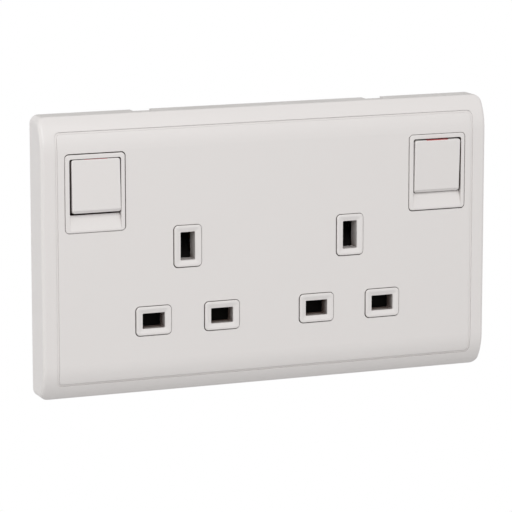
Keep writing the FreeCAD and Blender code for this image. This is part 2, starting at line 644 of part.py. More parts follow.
def make_mounting_frame():
    """The moulded frame: skirt, web, collar, screw bosses and the two switch frames."""
    frame = new_body("mounting_frame")
    thin = " - 2 * frame_wall"
    rounded_pad(frame, "0", "0", "0", "frame_width", "frame_height", "frame_corner", "skirt_depth")
    rounded_pad(frame, "0", "0", "0", "web_width", "web_height", "frame_corner", "frame_front")
    rounded_cut(frame, "0", "0", "skirt_back", "frame_width" + thin, "frame_height" + thin,
                "inner_corner", "skirt_back")
    # The hollow behind the raised web
    rounded_cut(frame, "0", "0", "web_back", "web_width" + thin, "web_height" + thin,
                "inner_corner", "web_back")
    # The collar that the housing is screwed to
    collar = new_sketch(frame, "XZ_Plane")
    draw_rounded(collar, "collar_width", "collar_height", "collar_corner")
    draw_rounded(collar, "collar_width - 2 * housing_wall", "collar_height - 2 * housing_wall",
                 "inner_corner")
    pad(frame, collar, "web_back")
    # Ribs that stiffen the skirt above and below the collar
    for end in ("", "0 - "):
        for hand in ("", "0 - "):
            for place in ("rib_near", "rib_far"):
                rounded_pad(frame, hand + place, end + "(rib_inner + rib_outer) / 2",
                            "skirt_back - rib_depth", "rib_thick", "rib_outer - rib_inner",
                            "rib_thick / 4", "rib_depth")
    for side, sign in SIDES:
        boss = new_sketch(frame, "XZ_Plane", sign + "fixing_spacing / 2", "0")
        draw_circle(boss, "fixing_boss")
        pad(frame, boss, "web_back")
        rounded_pad(frame, sign + "switch_place", "switch_height", "0", "switch_frame_width",
                    "switch_frame_height", "switch_frame_corner", "island_face")
    round_edges(frame, "edge_round", at_front(size("island_face")))
    for side, sign in SIDES:
        cut_switch_well(frame, sign)
        rounded_cut(frame, sign + "socket_pitch / 2", "window_z", "frame_front", "window_width",
                    "window_height", "window_corner", "web")
        hole = new_sketch(frame, "XZ_Plane", sign + "fixing_spacing / 2", "0", "frame_front")
        draw_circle(hole, "fixing_hole")
        pocket(frame, hole, "frame_front")
        seat = new_sketch(frame, "XZ_Plane", sign + "fixing_spacing / 2", "0", "frame_front")
        draw_circle(seat, "fixing_head")
        pocket(frame, seat, "head_seat")
    for x, z in ASSEMBLY_SPOTS:
        pillar = new_sketch(frame, "XZ_Plane", x, z)
        draw_circle(pillar, "assembly_pillar")
        pad(frame, pillar, "web_back")
        pilot = new_sketch(frame, "XZ_Plane", x, z, "web_back")
        draw_circle(pilot, "assembly_screw + 2 * screw_play")
        pocket(frame, pilot, "web_back")
    keep(frame, "mounting_frame")


def cut_switch_well(frame, sign):
    """The opening that holds a rocker, its bearing holes and the finger ramp below it."""
    rounded_cut(frame, sign + "switch_place", "well_z", "island_face", "well_width", "well_height",
                "well_corner", "island_face")
    bearing = new_sketch(frame, "YZ_Plane", "0 - rocker_pivot", "well_z", sign + "switch_place")
    draw_circle(bearing, "trunnion + 2 * running_gap")
    pocket(frame, bearing, "rocker_width + 2 * trunnion_length + 2 * end_gap", middle=True)
    ramp = new_sketch(frame, "YZ_Plane", "0", "0", sign + "switch_place")
    draw_points(ramp, [
        ("0 - island_face - island_stand", "well_bottom + running_gap"),
        ("0 - island_face + ramp_depth", "well_bottom + running_gap"),
        ("0 - island_face", "switch_bottom + ramp_lip"),
        ("0 - island_face - island_stand", "switch_bottom + ramp_lip"),
    ])
    pocket(frame, ramp, "well_width", middle=True)


def make_socket_insert(side, sign):
    """One socket's face: three bezels with dished pin holes on a flanged plate."""
    insert = new_body(side + "_socket_insert")
    slim = " - 2 * insert_gap"
    lap = " + 2 * flange_lap"
    rounded_pad(insert, "0", "window_z", "flange_back", "window_width" + lap, "window_height" + lap,
                "frame_corner", "flange_thick")
    # The bed in which the shutter slides
    bed = new_sketch(insert, "XZ_Plane", "0", "(bed_top + bed_bottom) / 2", "web_back")
    draw_rounded(bed, "bed_width", "bed_top - bed_bottom", "inner_corner")
    pocket(insert, bed, "flange_thick")
    rounded_pad(insert, "0", "window_z", "web_back", "window_width" + slim, "window_height" + slim,
                "window_corner", "web")
    for name, x, z, width, height in PIN_HOLES:
        rounded_pad(insert, x, z, "frame_front", width + " + 2 * bezel_margin",
                    height + " + 2 * bezel_margin", "bezel_corner", "island_face - frame_front")
    round_edges(insert, "edge_round", at_front(size("island_face")))
    for name, x, z, width, height in PIN_HOLES:
        mouth = new_sketch(insert, "XZ_Plane", x, z, "island_face")
        draw_rounded(mouth, width + " + 2 * dish_width", height + " + 2 * dish_width", "dish_corner")
        throat = new_sketch(insert, "XZ_Plane", x, z, "island_face - dish_depth")
        draw_rounded(throat, width + " + 2 * throat_margin", height + " + 2 * throat_margin",
                     "hole_corner + throat_margin")
        dish = insert.newObject("PartDesign::SubtractiveLoft", insert.Name + "_dish")
        dish.Profile = mouth
        dish.Sections = [throat]
        rounded_cut(insert, x, z, "island_face", width, height, "hole_corner", "island_face")
    # Rails beside the shutter and the peg below its spring
    rail_x = "((window_width - rail_width) / 2 + flange_lap)"
    for hand in ("0 - ", ""):
        rail = new_sketch(insert, "XZ_Plane", hand + rail_x, "window_z", "flange_back")
        draw_rounded(rail, "rail_width", "window_height", "inner_corner / 2")
        pad(insert, rail, "flange_back - shutter_back", reverse=True)
    peg = new_sketch(insert, "XZ_Plane", "0", "peg_top - peg_height / 2", "web_back")
    draw_rounded(peg, "shutter_spring", "peg_height", "inner_corner / 2")
    pad(insert, peg, "web_back - shutter_back", reverse=True)
    place_at(insert, sign + "socket_pitch / 2")
    keep(insert, side + "_socket_insert")


def make_shutter(side, sign):
    """A shutter: a blade over the two lower holes, a stem and a sloping cam."""
    shutter = new_body(side + "_shutter")
    plate = new_sketch(shutter, "XZ_Plane", "0", "0", "shutter_back")
    draw_points(plate, [
        ("0 - blade_width / 2", "blade_bottom"),
        ("blade_width / 2", "blade_bottom"),
        ("blade_width / 2", "blade_top"),
        ("shutter_stem / 2", "blade_top + shutter_slope"),
        ("shutter_stem / 2", "cam_bottom"),
        ("0 - shutter_stem / 2", "cam_bottom"),
        ("0 - shutter_stem / 2", "blade_top + shutter_slope"),
        ("0 - blade_width / 2", "blade_top"),
    ])
    pad(shutter, plate, "shutter_thick")
    cam = new_sketch(shutter, "YZ_Plane")
    draw_points(cam, [
        ("0 - shutter_front", "cam_bottom - cam_lead"),
        ("0 - shutter_front + shutter_cam", "cam_bottom - cam_lead"),
        ("0 - shutter_front + shutter_cam", "cam_top"),
        ("0 - shutter_front + shutter_cam - cam_tip", "cam_top"),
        ("0 - shutter_front", "cam_bottom + cam_start"),
    ])
    pad(shutter, cam, "earth_hole_width + 2 * shutter_lap", middle=True)
    rounded_cut(shutter, "0", "(slot_top + slot_bottom) / 2", "shutter_front",
                "shutter_spring + 2 * spring_play", "slot_top - slot_bottom", "spring_play",
                "shutter_cam")
    place_at(shutter, sign + "socket_pitch / 2")
    keep(shutter, side + "_shutter")


# Number of sides of a spring wire's section
WIRE_SIDES = 6


def coil(label, diameter, length, turns):
    """A coil spring that stands along +Z from its own origin."""
    helix = doc.addObject("Part::Helix", label + "_line")
    helix.setExpression("Radius", bind("(%s - spring_wire) / 2" % diameter))
    helix.setExpression("Height", bind(length))
    helix.setExpression("Pitch", bind("(%s) / %s" % (length, turns)))
    doc.recompute()
    start = helix.Shape.Edges[0].valueAt(0)
    wire = doc.addObject("Part::RegularPolygon", label + "_wire")
    wire.Polygon = WIRE_SIDES
    wire.setExpression("Circumradius", bind("spring_wire / 2"))
    wire.Placement = Placement(start, Rotation(Vector(1, 0, 0), 90))
    wire.setExpression("Placement.Base.x", bind("(%s - spring_wire) / 2" % diameter))
    sweep = doc.addObject("Part::Sweep", label)
    sweep.Sections = [wire]
    doc.recompute()
    sweep.Spine = (helix, ["Edge%d" % (i + 1) for i in range(len(helix.Shape.Edges))])
    sweep.Solid = True
    sweep.Frenet = True
    return sweep


def make_shutter_spring(side, sign):
    length = "slot_top - peg_top - 2 * end_gap"
    spring = coil(side + "_shutter_spring", "shutter_spring", length, "shutter_turns")
    place_at(spring, sign + "socket_pitch / 2", "0 - (shutter_front + shutter_back) / 2",
             "peg_top + end_gap")
    keep(spring, side + "_shutter_spring")


# A rocker is drawn level with its pivot at the origin, then tilted and moved to its place.
# The left switch rests off, with its top pressed in. The right switch rests on.
ROCKER_REST = {"left": -1, "right": 1}


def tilt_to_place(item, side, sign):
    """Turn a piece with its rocker about the pivot and move it to its switch."""
    angle = ROCKER_REST[side] * size("rocker_tilt")
    item.Placement = Placement(Vector(), Rotation(Vector(1, 0, 0), angle))
    place_at(item, sign + "switch_place", "0 - rocker_pivot", "well_z")


def make_rocker(side, sign):
    """A rocker cap with rounded edges, pivot pins and a hollow stem."""
    rocker = new_body(side + "_rocker")
    rounded_pad(rocker, "0", "0", "rocker_rise - rocker_skirt", "rocker_width", "rocker_height",
                "rocker_corner", "rocker_skirt")
    round_edges(rocker, "rocker_round", at_front(size("rocker_rise")))
    # The sloping toe along the lower front edge
    toe = new_sketch(rocker, "YZ_Plane")
    draw_points(toe, [
        ("0 - rocker_rise", "0 - rocker_height / 2 + toe_height"),
        ("0 - rocker_rise + toe_depth", "0 - rocker_height / 2"),
        ("0 - rocker_rise + toe_depth", "0 - rocker_height"),
        ("0 - rocker_face", "0 - rocker_height"),
        ("0 - rocker_face", "0 - rocker_height / 2 + toe_height"),
    ])
    pocket(rocker, toe, "2 * rocker_width", middle=True)
    rounded_cut(rocker, "0", "0", "rocker_rise - rocker_shell", "rocker_width - 2 * rocker_shell",
                "rocker_height - 2 * rocker_shell", "inner_corner", "rocker_skirt - rocker_shell")
    rounded_pad(rocker, "0", "0", "0 - stem_reach", "stem_size", "stem_size", "inner_corner",
                "stem_reach + rocker_rise - rocker_shell")
    rounded_pad(rocker, "0", "0", "0 - trunnion / 2", "rocker_width - rocker_shell", "trunnion",
                "small_corner", "trunnion / 2 + rocker_rise - rocker_shell")
    pins = new_sketch(rocker, "YZ_Plane")
    draw_circle(pins, "trunnion")
    pad(rocker, pins, "rocker_width + 2 * trunnion_length", middle=True)
    bore = new_sketch(rocker, "XZ_Plane", "0", "0", "bore_end")
    draw_circle(bore, "plunger_size + 2 * plunger_gap")
    pocket(rocker, bore, "bore_end + stem_reach")
    recess = new_sketch(rocker, "XY_Plane", "0", "0 - rocker_rise + flag_lead + flag_thick / 2",
                        "rocker_height / 2")
    draw_rounded(recess, "flag_width", "flag_thick", "flag_corner")
    pocket(rocker, recess, "flag_sink")
    tilt_to_place(rocker, side, sign)
    keep(rocker, side + "_rocker")
    flag = new_body(side + "_on_flag")
    inlay = new_sketch(flag, "XY_Plane", "0", "0 - rocker_rise + flag_lead + flag_thick / 2",
                       "rocker_height / 2 - flag_sink")
    draw_rounded(inlay, "flag_width - 2 * flag_fit", "flag_thick - 2 * flag_fit", "flag_corner")
    pad(flag, inlay, "flag_sink + flag_stand")
    tilt_to_place(flag, side, sign)
    keep(flag, side + "_on_flag")


def make_plunger(side, sign):
    """The sprung plunger in the rocker's stem, round at its tip, and its spring."""
    plunger = new_body(side + "_plunger")
    outline = new_sketch(plunger, "XZ_Plane", "0", "0", "0 - plunger_reach")
    draw_circle(outline, "plunger_size")
    pad(plunger, outline, "plunger_length")
    round_edges(plunger, "plunger_size / 2 - plunger_flat", at_front(-size("plunger_reach")))
    tilt_to_place(plunger, side, sign)
    keep(plunger, side + "_plunger")
    spring = coil(side + "_plunger_spring", "plunger_size - 2 * plunger_gap",
                  "bore_end + plunger_reach - plunger_length - 2 * end_gap", "plunger_turns")
    tilt = "(%s%s)" % ("" if ROCKER_REST[side] > 0 else "0 - ", "rocker_tilt")
    angle = ROCKER_REST[side] * size("rocker_tilt")
    spring.Placement = Placement(Vector(), Rotation(Vector(1, 0, 0), angle - 90))
    lead = "(bore_end - end_gap)"
    place_at(spring, sign + "switch_place", "0 - rocker_pivot - %s * cos(%s)" % (lead, tilt),
             "well_z - %s * sin(%s)" % (lead, tilt))
    keep(spring, side + "_plunger_spring")


def make_rocking_contact(side, sign):
    """The rocking contact under the plunger, with its pin and silver rivet."""
    contact = new_body(side + "_rocking_contact")
    outline = new_sketch(contact, "XZ_Plane", "0", "0", "0 - rocking_thick / 2")
    draw_rounded(outline, "rocking_width", "rocking_length", "rocking_corner")
    pad(contact, outline, "rocking_thick")
    pin = new_sketch(contact, "YZ_Plane")
    draw_circle(pin, "rocking_pin")
    pad(contact, pin, "rocking_width + 2 * rocking_pin_end", middle=True)
    rivet = new_body(side + "_moving_rivet")
    button = new_sketch(rivet, "XZ_Plane", "0", "rivet_place", "0 - rocking_thick / 2")
    draw_circle(button, "rivet_size")
    pad(rivet, button, "rivet_height", reverse=True)
    for piece in (contact, rivet):
        angle = -ROCKER_REST[side] * size("rocking_tilt")
        piece.Placement = Placement(Vector(), Rotation(Vector(1, 0, 0), angle))
        place_at(piece, sign + "switch_place", "rocking_back", "well_z")
        keep(piece, piece.Name)


def make_live_feed_bar():
    """The strip that feeds both switches from the line terminal, with pivot brackets."""
    pieces = [block("feed_strip", "0", "feed_back", "well_z - feed_drop",
                    "2 * switch_place + rocking_width + 2 * seat_side", "strip", "feed_height")]
    for side, sign in SIDES:
        x = sign + "switch_place"
        pieces.append(block("feed_seat_" + side, x, "feed_back", "well_z - seat_drop",
                            "rocking_width + 2 * seat_side", "strip", "seat_height"))
        for hand in (" - ", " + "):
            pieces.append(block("feed_bracket_%s%d" % (side, len(pieces)),
                                x + hand + "(rocking_width / 2 + bracket_side)",
                                "rocking_back - bracket_rim", "well_z", "strip",
                                "feed_back - rocking_back + bracket_rim + strip", "bracket_height"))
    pieces.append(block("feed_riser", "terminal_outer", "feed_back", "terminal_bottom - riser_drop",
                        "strap", "strip", "riser_height"))
    pieces.append(block("feed_shelf", "terminal_outer", "feed_back", "terminal_bottom + shelf_rise",
                        "strap", "terminal_front - feed_back", "strip"))
    pieces.append(block("feed_tab", "terminal_outer", "terminal_front - strip",
                        "terminal_bottom + tab_rise", "strap", "strip", "tab_height"))
    holes = []
    for side, sign in SIDES:
        holes.append(rod("feed_hole_" + side, sign + "switch_place - rocking_width", "rocking_back",
                         "well_z", "rocking_pin + 2 * running_gap", "2 * rocking_width", ALONG_X))
    keep(subtract("live_feed_bar", join("feed_solid", pieces), holes), "live_feed_bar")


def flat_leaves(label, x, back):
    """Two leaves that grip a line or neutral pin from above and below, with their base."""
    pieces = []
    for hand in (" - ", " + "):
        z = "0 - pin_line" + hand + "flat_leaf_place"
        pieces.append(block("%s_leaf%d" % (label, len(pieces)), x, "leaf_start", z, "flat_leaf",
                            back + " - leaf_start + strip", "strip"))
    pieces.append(block(label + "_base", x, back, "0 - pin_line", "flat_leaf", "strip",
                        "2 * flat_leaf_place + strip"))
    return pieces


def make_neutral_bar():
    """The neutral bar: a strip with two receptacles and a riser to its terminal."""
    pieces = []
    arm_z = "(terminal_bottom - arm_drop)"
    for side, sign in SIDES:
        pieces += flat_leaves("neutral_" + side, sign + "socket_pitch / 2 - pin_spread / 2",
                              "neutral_back")
    pieces.append(block("neutral_strip", "0 - pin_spread / 2", "neutral_back", "0 - pin_line",
                        "socket_pitch", "strip", "strap"))
    pieces.append(block("neutral_riser", "0", "neutral_back", "(%s - pin_line) / 2" % arm_z, "strap",
                        "strip", arm_z + " + pin_line + strap"))
    pieces.append(block("neutral_arm", "0 - terminal_outer / 2", "neutral_back", arm_z,
                        "terminal_outer + strap", "strip", "strap"))
    pieces.append(block("neutral_tail", "0 - terminal_outer", "neutral_back",
                        "terminal_bottom - tail_height / 2", "strap", "strip", "tail_height"))
    keep(join("neutral_bar", pieces), "neutral_bar")


def make_earth_bar():
    """The earth bar: a strip with two upright receptacles and a riser to its terminals."""
    pieces = []
    for side, sign in SIDES:
        x = sign + "socket_pitch / 2"
        for hand in (" - ", " + "):
            pieces.append(block("earth_leaf_%s%d" % (side, len(pieces)), x + hand + "flat_leaf_place",
                                "leaf_start", "earth_z", "strip", "earth_back - leaf_start + strip",
                                "earth_leaf"))
        pieces.append(block("earth_base_" + side, x, "earth_back", "earth_z",
                            "2 * flat_leaf_place + strip", "strip", "earth_leaf"))
    pieces.append(block("earth_strip", "0", "earth_back", "earth_z", "socket_pitch", "strip", "strap"))
    pieces.append(block("earth_riser", "0", "earth_back", "(terminal_z + earth_z) / 2",
                        "2 * terminal_inner + strap", "strip", "terminal_z - earth_z + strap"))
    keep(join("earth_bar", pieces), "earth_bar")


def make_live_contact(side, sign):
    """A line receptacle with the strip that runs up to its switch's fixed rivet."""
    turn = "" if side == "right" else "0 - "
    receptacle_x = sign + "socket_pitch / 2 + pin_spread / 2"
    level = "(live_rise - pin_line)"
    top = "(well_z + rivet_place)"
    column_x = turn + "(switch_place - column_inset)"
    pieces = flat_leaves("live_" + side, receptacle_x, "live_back")
    pieces.append(block("live_rise_" + side, receptacle_x, "live_back", "live_rise / 2 - pin_line",
                        "strap", "strip", "live_rise"))
    pieces.append(block("live_run_" + side, "(%s + %s) / 2" % (receptacle_x, column_x), "live_back",
                        level, span(receptacle_x, column_x) + " + column_width", "strip", "strap"))
    pieces.append(block("live_column_" + side, column_x, "live_back", "(%s + %s) / 2" % (level, top),
                        "column_width", "strip", "%s - %s + strap" % (top, level)))
    pieces.append(block("live_step_" + side, column_x, "fixed_back", top, "column_width",
                        "live_back - fixed_back + strip", "strap"))
    reach = "(column_inset + rivet_size / 2)"
    pieces.append(block("live_top_" + side, "%s + (%s%s / 2)" % (column_x, turn, reach), "fixed_back",
                        top, "column_width + " + reach, "strip", "strap"))
    keep(join(side + "_live_contact", pieces), side + "_live_contact")
    rivet = rod(side + "_fixed_rivet", turn + "switch_place", "fixed_back - rivet_height", top,
                "rivet_size", "rivet_height", ALONG_Y)
    keep(rivet, side + "_fixed_rivet")


def span(first, second):
    """The distance between two places, as an expression."""
    return "abs((%s) - (%s))" % (first, second)


# Terminals: node name, x of the block
TERMINALS = [
    ("neutral_terminal", "0 - terminal_outer"),
    ("earth_terminal_left", "0 - terminal_inner"),
    ("earth_terminal_right", "terminal_inner"),
    ("live_terminal", "terminal_outer"),
]


def make_terminals():
    """Brass blocks with a wire bore from above and a clamping screw from the back."""
    screws = []
    for label, x in TERMINALS:
        body = block(label + "_block", x, "terminal_front", "terminal_z", "terminal_width",
                     "terminal_depth", "terminal_length")
        bore = rod(label + "_bore", x, "wire_back", "terminal_bottom + bore_floor", "wire_bore",
                   "terminal_length", ALONG_Z)
        tapped = rod(label + "_tap", x, "wire_back", "terminal_z", "screw_shank + 2 * running_gap",
                     "terminal_depth", ALONG_Y)
        keep(subtract(label, body, [bore, tapped]), label)
        shank = rod(label + "_shank", x, "wire_back + wire_bore / 2", "terminal_z", "screw_shank",
                    "terminal_back - wire_back - wire_bore / 2", ALONG_Y)
        head = rod(label + "_head", x, "terminal_back", "terminal_z", "screw_head",
                   "screw_head_height", ALONG_Y)
        slot = block(label + "_slot", x, "terminal_back + screw_head_height / 2", "terminal_z",
                     "2 * screw_head", "screw_head_height", "screw_slot")
        screws.append(subtract(label + "_screw", join(label + "_turned", [shank, head]), [slot]))
    group = doc.addObject("Part::Compound", "terminal_screws")
    group.Links = screws
    keep(group, "terminal_screws")


# Posts that carry the brass strips: x, z, back distance of the strip
POSTS = []
for side_name, side_sign in SIDES:
    POSTS.append((side_sign + "socket_pitch / 2 - pin_spread / 2", "0 - pin_line", "neutral_back"))
    POSTS.append((side_sign + "socket_pitch / 2 + pin_spread / 2", "post_rise - pin_line", "live_back"))
    POSTS.append((side_sign + "socket_pitch / 2", "earth_z", "earth_back"))
    POSTS.append((side_sign + "feed_post", "well_z - feed_drop", "feed_back"))


def make_rear_housing():
    """The rear housing: a tray with ears behind the switches, posts and openings."""
    housing = new_body("rear_housing")
    rounded_pad(housing, "0", "0", "0 - housing_depth", "collar_width", "collar_height",
                "collar_corner", "housing_depth")
    ear_x = "((collar_width + ear_reach) / 2 - housing_wall)"
    for side, sign in SIDES:
        rounded_pad(housing, sign + ear_x, "well_z", "0 - housing_depth", "ear_reach + 2 * housing_wall",
                    "ear_height", "ear_corner", "housing_depth")
    rounded_cut(housing, "0", "0", "0", "collar_width - 2 * housing_wall",
                "collar_height - 2 * housing_wall", "inner_corner", "floor_back")
    for side, sign in SIDES:
        rounded_cut(housing, sign + "(%s - housing_wall)" % ear_x, "well_z", "0",
                    "ear_reach + 2 * housing_wall", "ear_height - 2 * housing_wall", "inner_corner",
                    "floor_back")
    for x, z, back in POSTS:
        rounded_pad(housing, x, z, "0 - floor_back", "post_width", "post_height", "small_corner",
                    "floor_back - %s - strip" % back)
    for label, x in TERMINALS:
        rounded_cut(housing, x, "terminal_z", "0 - floor_back", "terminal_width + 2 * terminal_gap",
                    "terminal_length + 2 * terminal_gap", "small_corner", "housing_wall")
        rounded_cut(housing, x, "collar_height / 2", "throat_depth - floor_back", "throat_width",
                    "3 * housing_wall", "inner_corner", "throat_depth + housing_wall")
    for x, z in ASSEMBLY_SPOTS:
        boss = new_sketch(housing, "XZ_Plane", x, z, "0 - floor_back")
        draw_circle(boss, "assembly_pillar")
        pad(housing, boss, "floor_back")
        well = new_sketch(housing, "XZ_Plane", x, z, "0 - screw_seat")
        draw_circle(well, "assembly_head + 2 * head_play")
        pocket(housing, well, "housing_depth")
        clear = new_sketch(housing, "XZ_Plane", x, z)
        draw_circle(clear, "assembly_screw + 2 * screw_play")
        pocket(housing, clear, "housing_depth")
    keep(housing, "rear_housing")


def make_assembly_screws():
    """Four screws that hold the housing to the frame, sunk in deep wells."""
    screws = []
    for x, z in ASSEMBLY_SPOTS:
        label = "assembly_screw%d" % len(screws)
        shank = rod(label + "_shank", x, "0 - web_back + screw_inset", z, "assembly_screw",
                    "web_back + screw_seat", ALONG_Y)
        head = rod(label + "_head", x, "screw_seat", z, "assembly_head", "assembly_head_height",
                   ALONG_Y)
        slot = block(label + "_slot", x, "screw_seat + assembly_head_height / 2", z,
                     "2 * assembly_head", "assembly_head_height", "screw_slot")
        screws.append(subtract(label, join(label + "_turned", [shank, head]), [slot]))
    group = doc.addObject("Part::Compound", "assembly_screws")
    group.Links = screws
    keep(group, "assembly_screws")


make_front_cover()
make_mounting_frame()
make_rear_housing()
make_live_feed_bar()
make_neutral_bar()
make_earth_bar()
make_terminals()
make_assembly_screws()
for side_name, side_sign in SIDES:
    make_socket_insert(side_name, side_sign)
    make_shutter(side_name, side_sign)
    make_shutter_spring(side_name, side_sign)
    make_rocker(side_name, side_sign)
    make_plunger(side_name, side_sign)
    make_rocking_contact(side_name, side_sign)
    make_live_contact(side_name, side_sign)

doc.recompute()

faults = [item.Label for item in doc.Objects if "Invalid" in item.State or "Error" in item.State]
if faults:
    raise RuntimeError("objects that failed: " + ", ".join(faults))
for node in nodes:
    if node.Shape.isNull() or not node.Shape.isValid():
        raise RuntimeError("no valid shape: " + node.Label)

os.makedirs("parts", exist_ok=True)
for node in nodes:
    node.Shape.exportStep("parts/%s.step" % node.Label)
    print(node.Label, "solids", len(node.Shape.Solids), "volume %.1f" % node.Shape.Volume)
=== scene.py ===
# %% [markdown]
# # A twin switched socket, dressed for the studio
#
# The construction of this wall socket comes from a CAD model: a clip-on cover, a moulded frame,
# two rockers, shutters, brass strips and a rear housing, all in one shared frame. X runs to the
# right, Z runs up, the front faces -Y and the wall plane is Y = 0. Here each piece gets its
# finish, the rockers and the cover get the slightly uneven fit that such pieces have, and the red
# flags become deep strips. Everything is in metres.

# %% Load the model
import json
import math

import bpy
import bmesh
from mathutils import Matrix, Vector


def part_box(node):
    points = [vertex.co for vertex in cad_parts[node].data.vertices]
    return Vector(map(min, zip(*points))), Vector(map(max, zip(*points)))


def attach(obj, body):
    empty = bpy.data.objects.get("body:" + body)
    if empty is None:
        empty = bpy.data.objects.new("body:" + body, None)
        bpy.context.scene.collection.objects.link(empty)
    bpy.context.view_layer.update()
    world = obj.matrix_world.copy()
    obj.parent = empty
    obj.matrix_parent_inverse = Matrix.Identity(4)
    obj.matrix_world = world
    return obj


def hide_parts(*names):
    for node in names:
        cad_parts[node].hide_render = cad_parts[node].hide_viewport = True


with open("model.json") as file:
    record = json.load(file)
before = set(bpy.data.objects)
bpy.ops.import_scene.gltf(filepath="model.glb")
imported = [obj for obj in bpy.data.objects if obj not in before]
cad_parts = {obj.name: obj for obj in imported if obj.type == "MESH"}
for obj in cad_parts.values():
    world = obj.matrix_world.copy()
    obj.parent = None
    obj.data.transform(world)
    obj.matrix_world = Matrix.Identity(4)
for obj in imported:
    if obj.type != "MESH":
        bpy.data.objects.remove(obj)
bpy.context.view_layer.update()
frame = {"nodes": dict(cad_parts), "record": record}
MM = 0.001

# %% [markdown]
# ## The camera
#
# The photograph was taken from the left and a little above, from almost a metre away with a long
# lens. Sideways and downward angles, distance and lens length come from matching the corners of
# the cover and the pin holes. A camera could be aimed with a Track To constraint, but a rotation
# worked out once from the line of sight is simpler and stays put.

# %% Place the camera
VIEW_FROM_LEFT = math.radians(21.97)
VIEW_FROM_ABOVE = math.radians(10.38)
VIEW_DISTANCE = 0.9494
LOOK_AT = Vector((-0.00022, 0.0, -0.00473))
LENS_MM = 215.8

sight = Vector((
    math.sin(VIEW_FROM_LEFT) * math.cos(VIEW_FROM_ABOVE),
    math.cos(VIEW_FROM_LEFT) * math.cos(VIEW_FROM_ABOVE),
    -math.sin(VIEW_FROM_ABOVE),
))
camera_data = bpy.data.cameras.new("photo_camera")
camera_data.lens = LENS_MM
camera = bpy.data.objects.new("photo_camera", camera_data)
camera.location = LOOK_AT - sight * VIEW_DISTANCE
camera.rotation_euler = sight.to_track_quat("-Z", "Y").to_euler()
bpy.context.scene.collection.objects.link(camera)
bpy.context.scene.camera = camera
print("camera at", [round(v, 3) for v in camera.location])

# %% [markdown]
# ## Node helpers
#
# Every material below is a small graph of nodes. Four helpers keep the cells short: one adds a
# node and sets its inputs, one links an output to an input by name, and two add the nodes used
# most, Math and Mix. Building the graphs by hand in the editor would be quicker once, but code
# can be read, repeated and changed in one place.

# %% Node helpers
def add_node(tree, kind, **inputs):
    """Add a node; keyword names are input names, with _ in place of a space."""
    node = tree.nodes.new(kind)
    for name, value in inputs.items():
        node.inputs[name.replace("_", " ")].default_value = value
    return node


def link(tree, source, output, target, entry):
    tree.links.new(source.outputs[output], target.inputs[entry])


def maths(tree, operation, first, second):
    """A Math node whose two inputs are numbers or (node, output) pairs."""
    node = tree.nodes.new("ShaderNodeMath")
    node.operation = operation
    for place, entry in enumerate((first, second)):
        if isinstance(entry, tuple):
            tree.links.new(entry[0].outputs[entry[1]], node.inputs[place])
        else:
            node.inputs[place].default_value = entry
    return node


MIX_SHARE = 0
MIX_FIRST = 6
MIX_SECOND = 7
MIX_RESULT = 2


def mix_colours(tree, share, first, second):
    """The output of a Mix node; each entry is a (node, output) pair, or a colour for the last two."""
    node = tree.nodes.new("ShaderNodeMix")
    node.data_type = "RGBA"
    for place, entry in ((MIX_SHARE, share), (MIX_FIRST, first), (MIX_SECOND, second)):
        if isinstance(entry[0], bpy.types.Node):
            tree.links.new(entry[0].outputs[entry[1]], node.inputs[place])
        else:
            node.inputs[place].default_value = entry
    return node.outputs[MIX_RESULT]


print("helpers:", add_node.__name__, link.__name__, maths.__name__, mix_colours.__name__)

# %% [markdown]
# ## The studio
#
# White plastic on white only reads through soft, uneven light. The photograph's light is nearly a
# white tent: it comes from all round, is strongest from above and weakest from below, and leaves
# deep gaps black, because they see little of the tent. Lamps alone would shine into the gaps, so
# the room itself does most of the work here, with a ceiling that is greyer than the walls. The
# camera and the reflections see the room at a strength of 1, which is pure white.

# %% World
PURE_WHITE = (1.0, 1.0, 1.0, 1.0)
ROOM_LEVEL = 0.70
CEILING_SHARE = 0.54
CEILING_STARTS = 0.45


def seeing_rays(tree):
    """A value of 1 for the camera, for reflections and for what is seen through glass, else 0."""
    paths = add_node(tree, "ShaderNodeLightPath")
    seen = maths(tree, "MAXIMUM", (paths, "Is Camera Ray"), (paths, "Is Glossy Ray"))
    return maths(tree, "MAXIMUM", (seen, "Value"), (paths, "Is Transmission Ray"))


world = bpy.data.worlds.new("studio_room")
bpy.context.scene.world = world
world.use_nodes = True
room = world.node_tree
room.nodes.clear()
seen = seeing_rays(room)
direction = room.nodes.new("ShaderNodeTexCoord")
upward = room.nodes.new("ShaderNodeSeparateXYZ")
link(room, direction, "Generated", upward, "Vector")
ceiling_level = ROOM_LEVEL * CEILING_SHARE
tent = add_node(
    room, "ShaderNodeMapRange", From_Min=CEILING_STARTS, To_Min=ROOM_LEVEL, To_Max=ceiling_level)
link(room, upward, "Z", tent, "Value")
level = maths(room, "MAXIMUM", (seen, "Value"), (tent, "Result"))
backdrop = add_node(room, "ShaderNodeBackground", Color=PURE_WHITE)
room_output = add_node(room, "ShaderNodeOutputWorld")
link(room, level, "Value", backdrop, "Strength")
link(room, backdrop, "Background", room_output, "Surface")
bpy.context.scene.view_settings.view_transform = "Standard"
print("room level", ROOM_LEVEL)

# %% [markdown]
# ## The lamps
#
# A soft key from the upper left shapes the face, so that its curve and the finger ramps read, and
# a weak softbox opens up the left edge. Both are square area lamps, because a small lamp or a sun
# would give hard shadows that the photograph doesn't have.

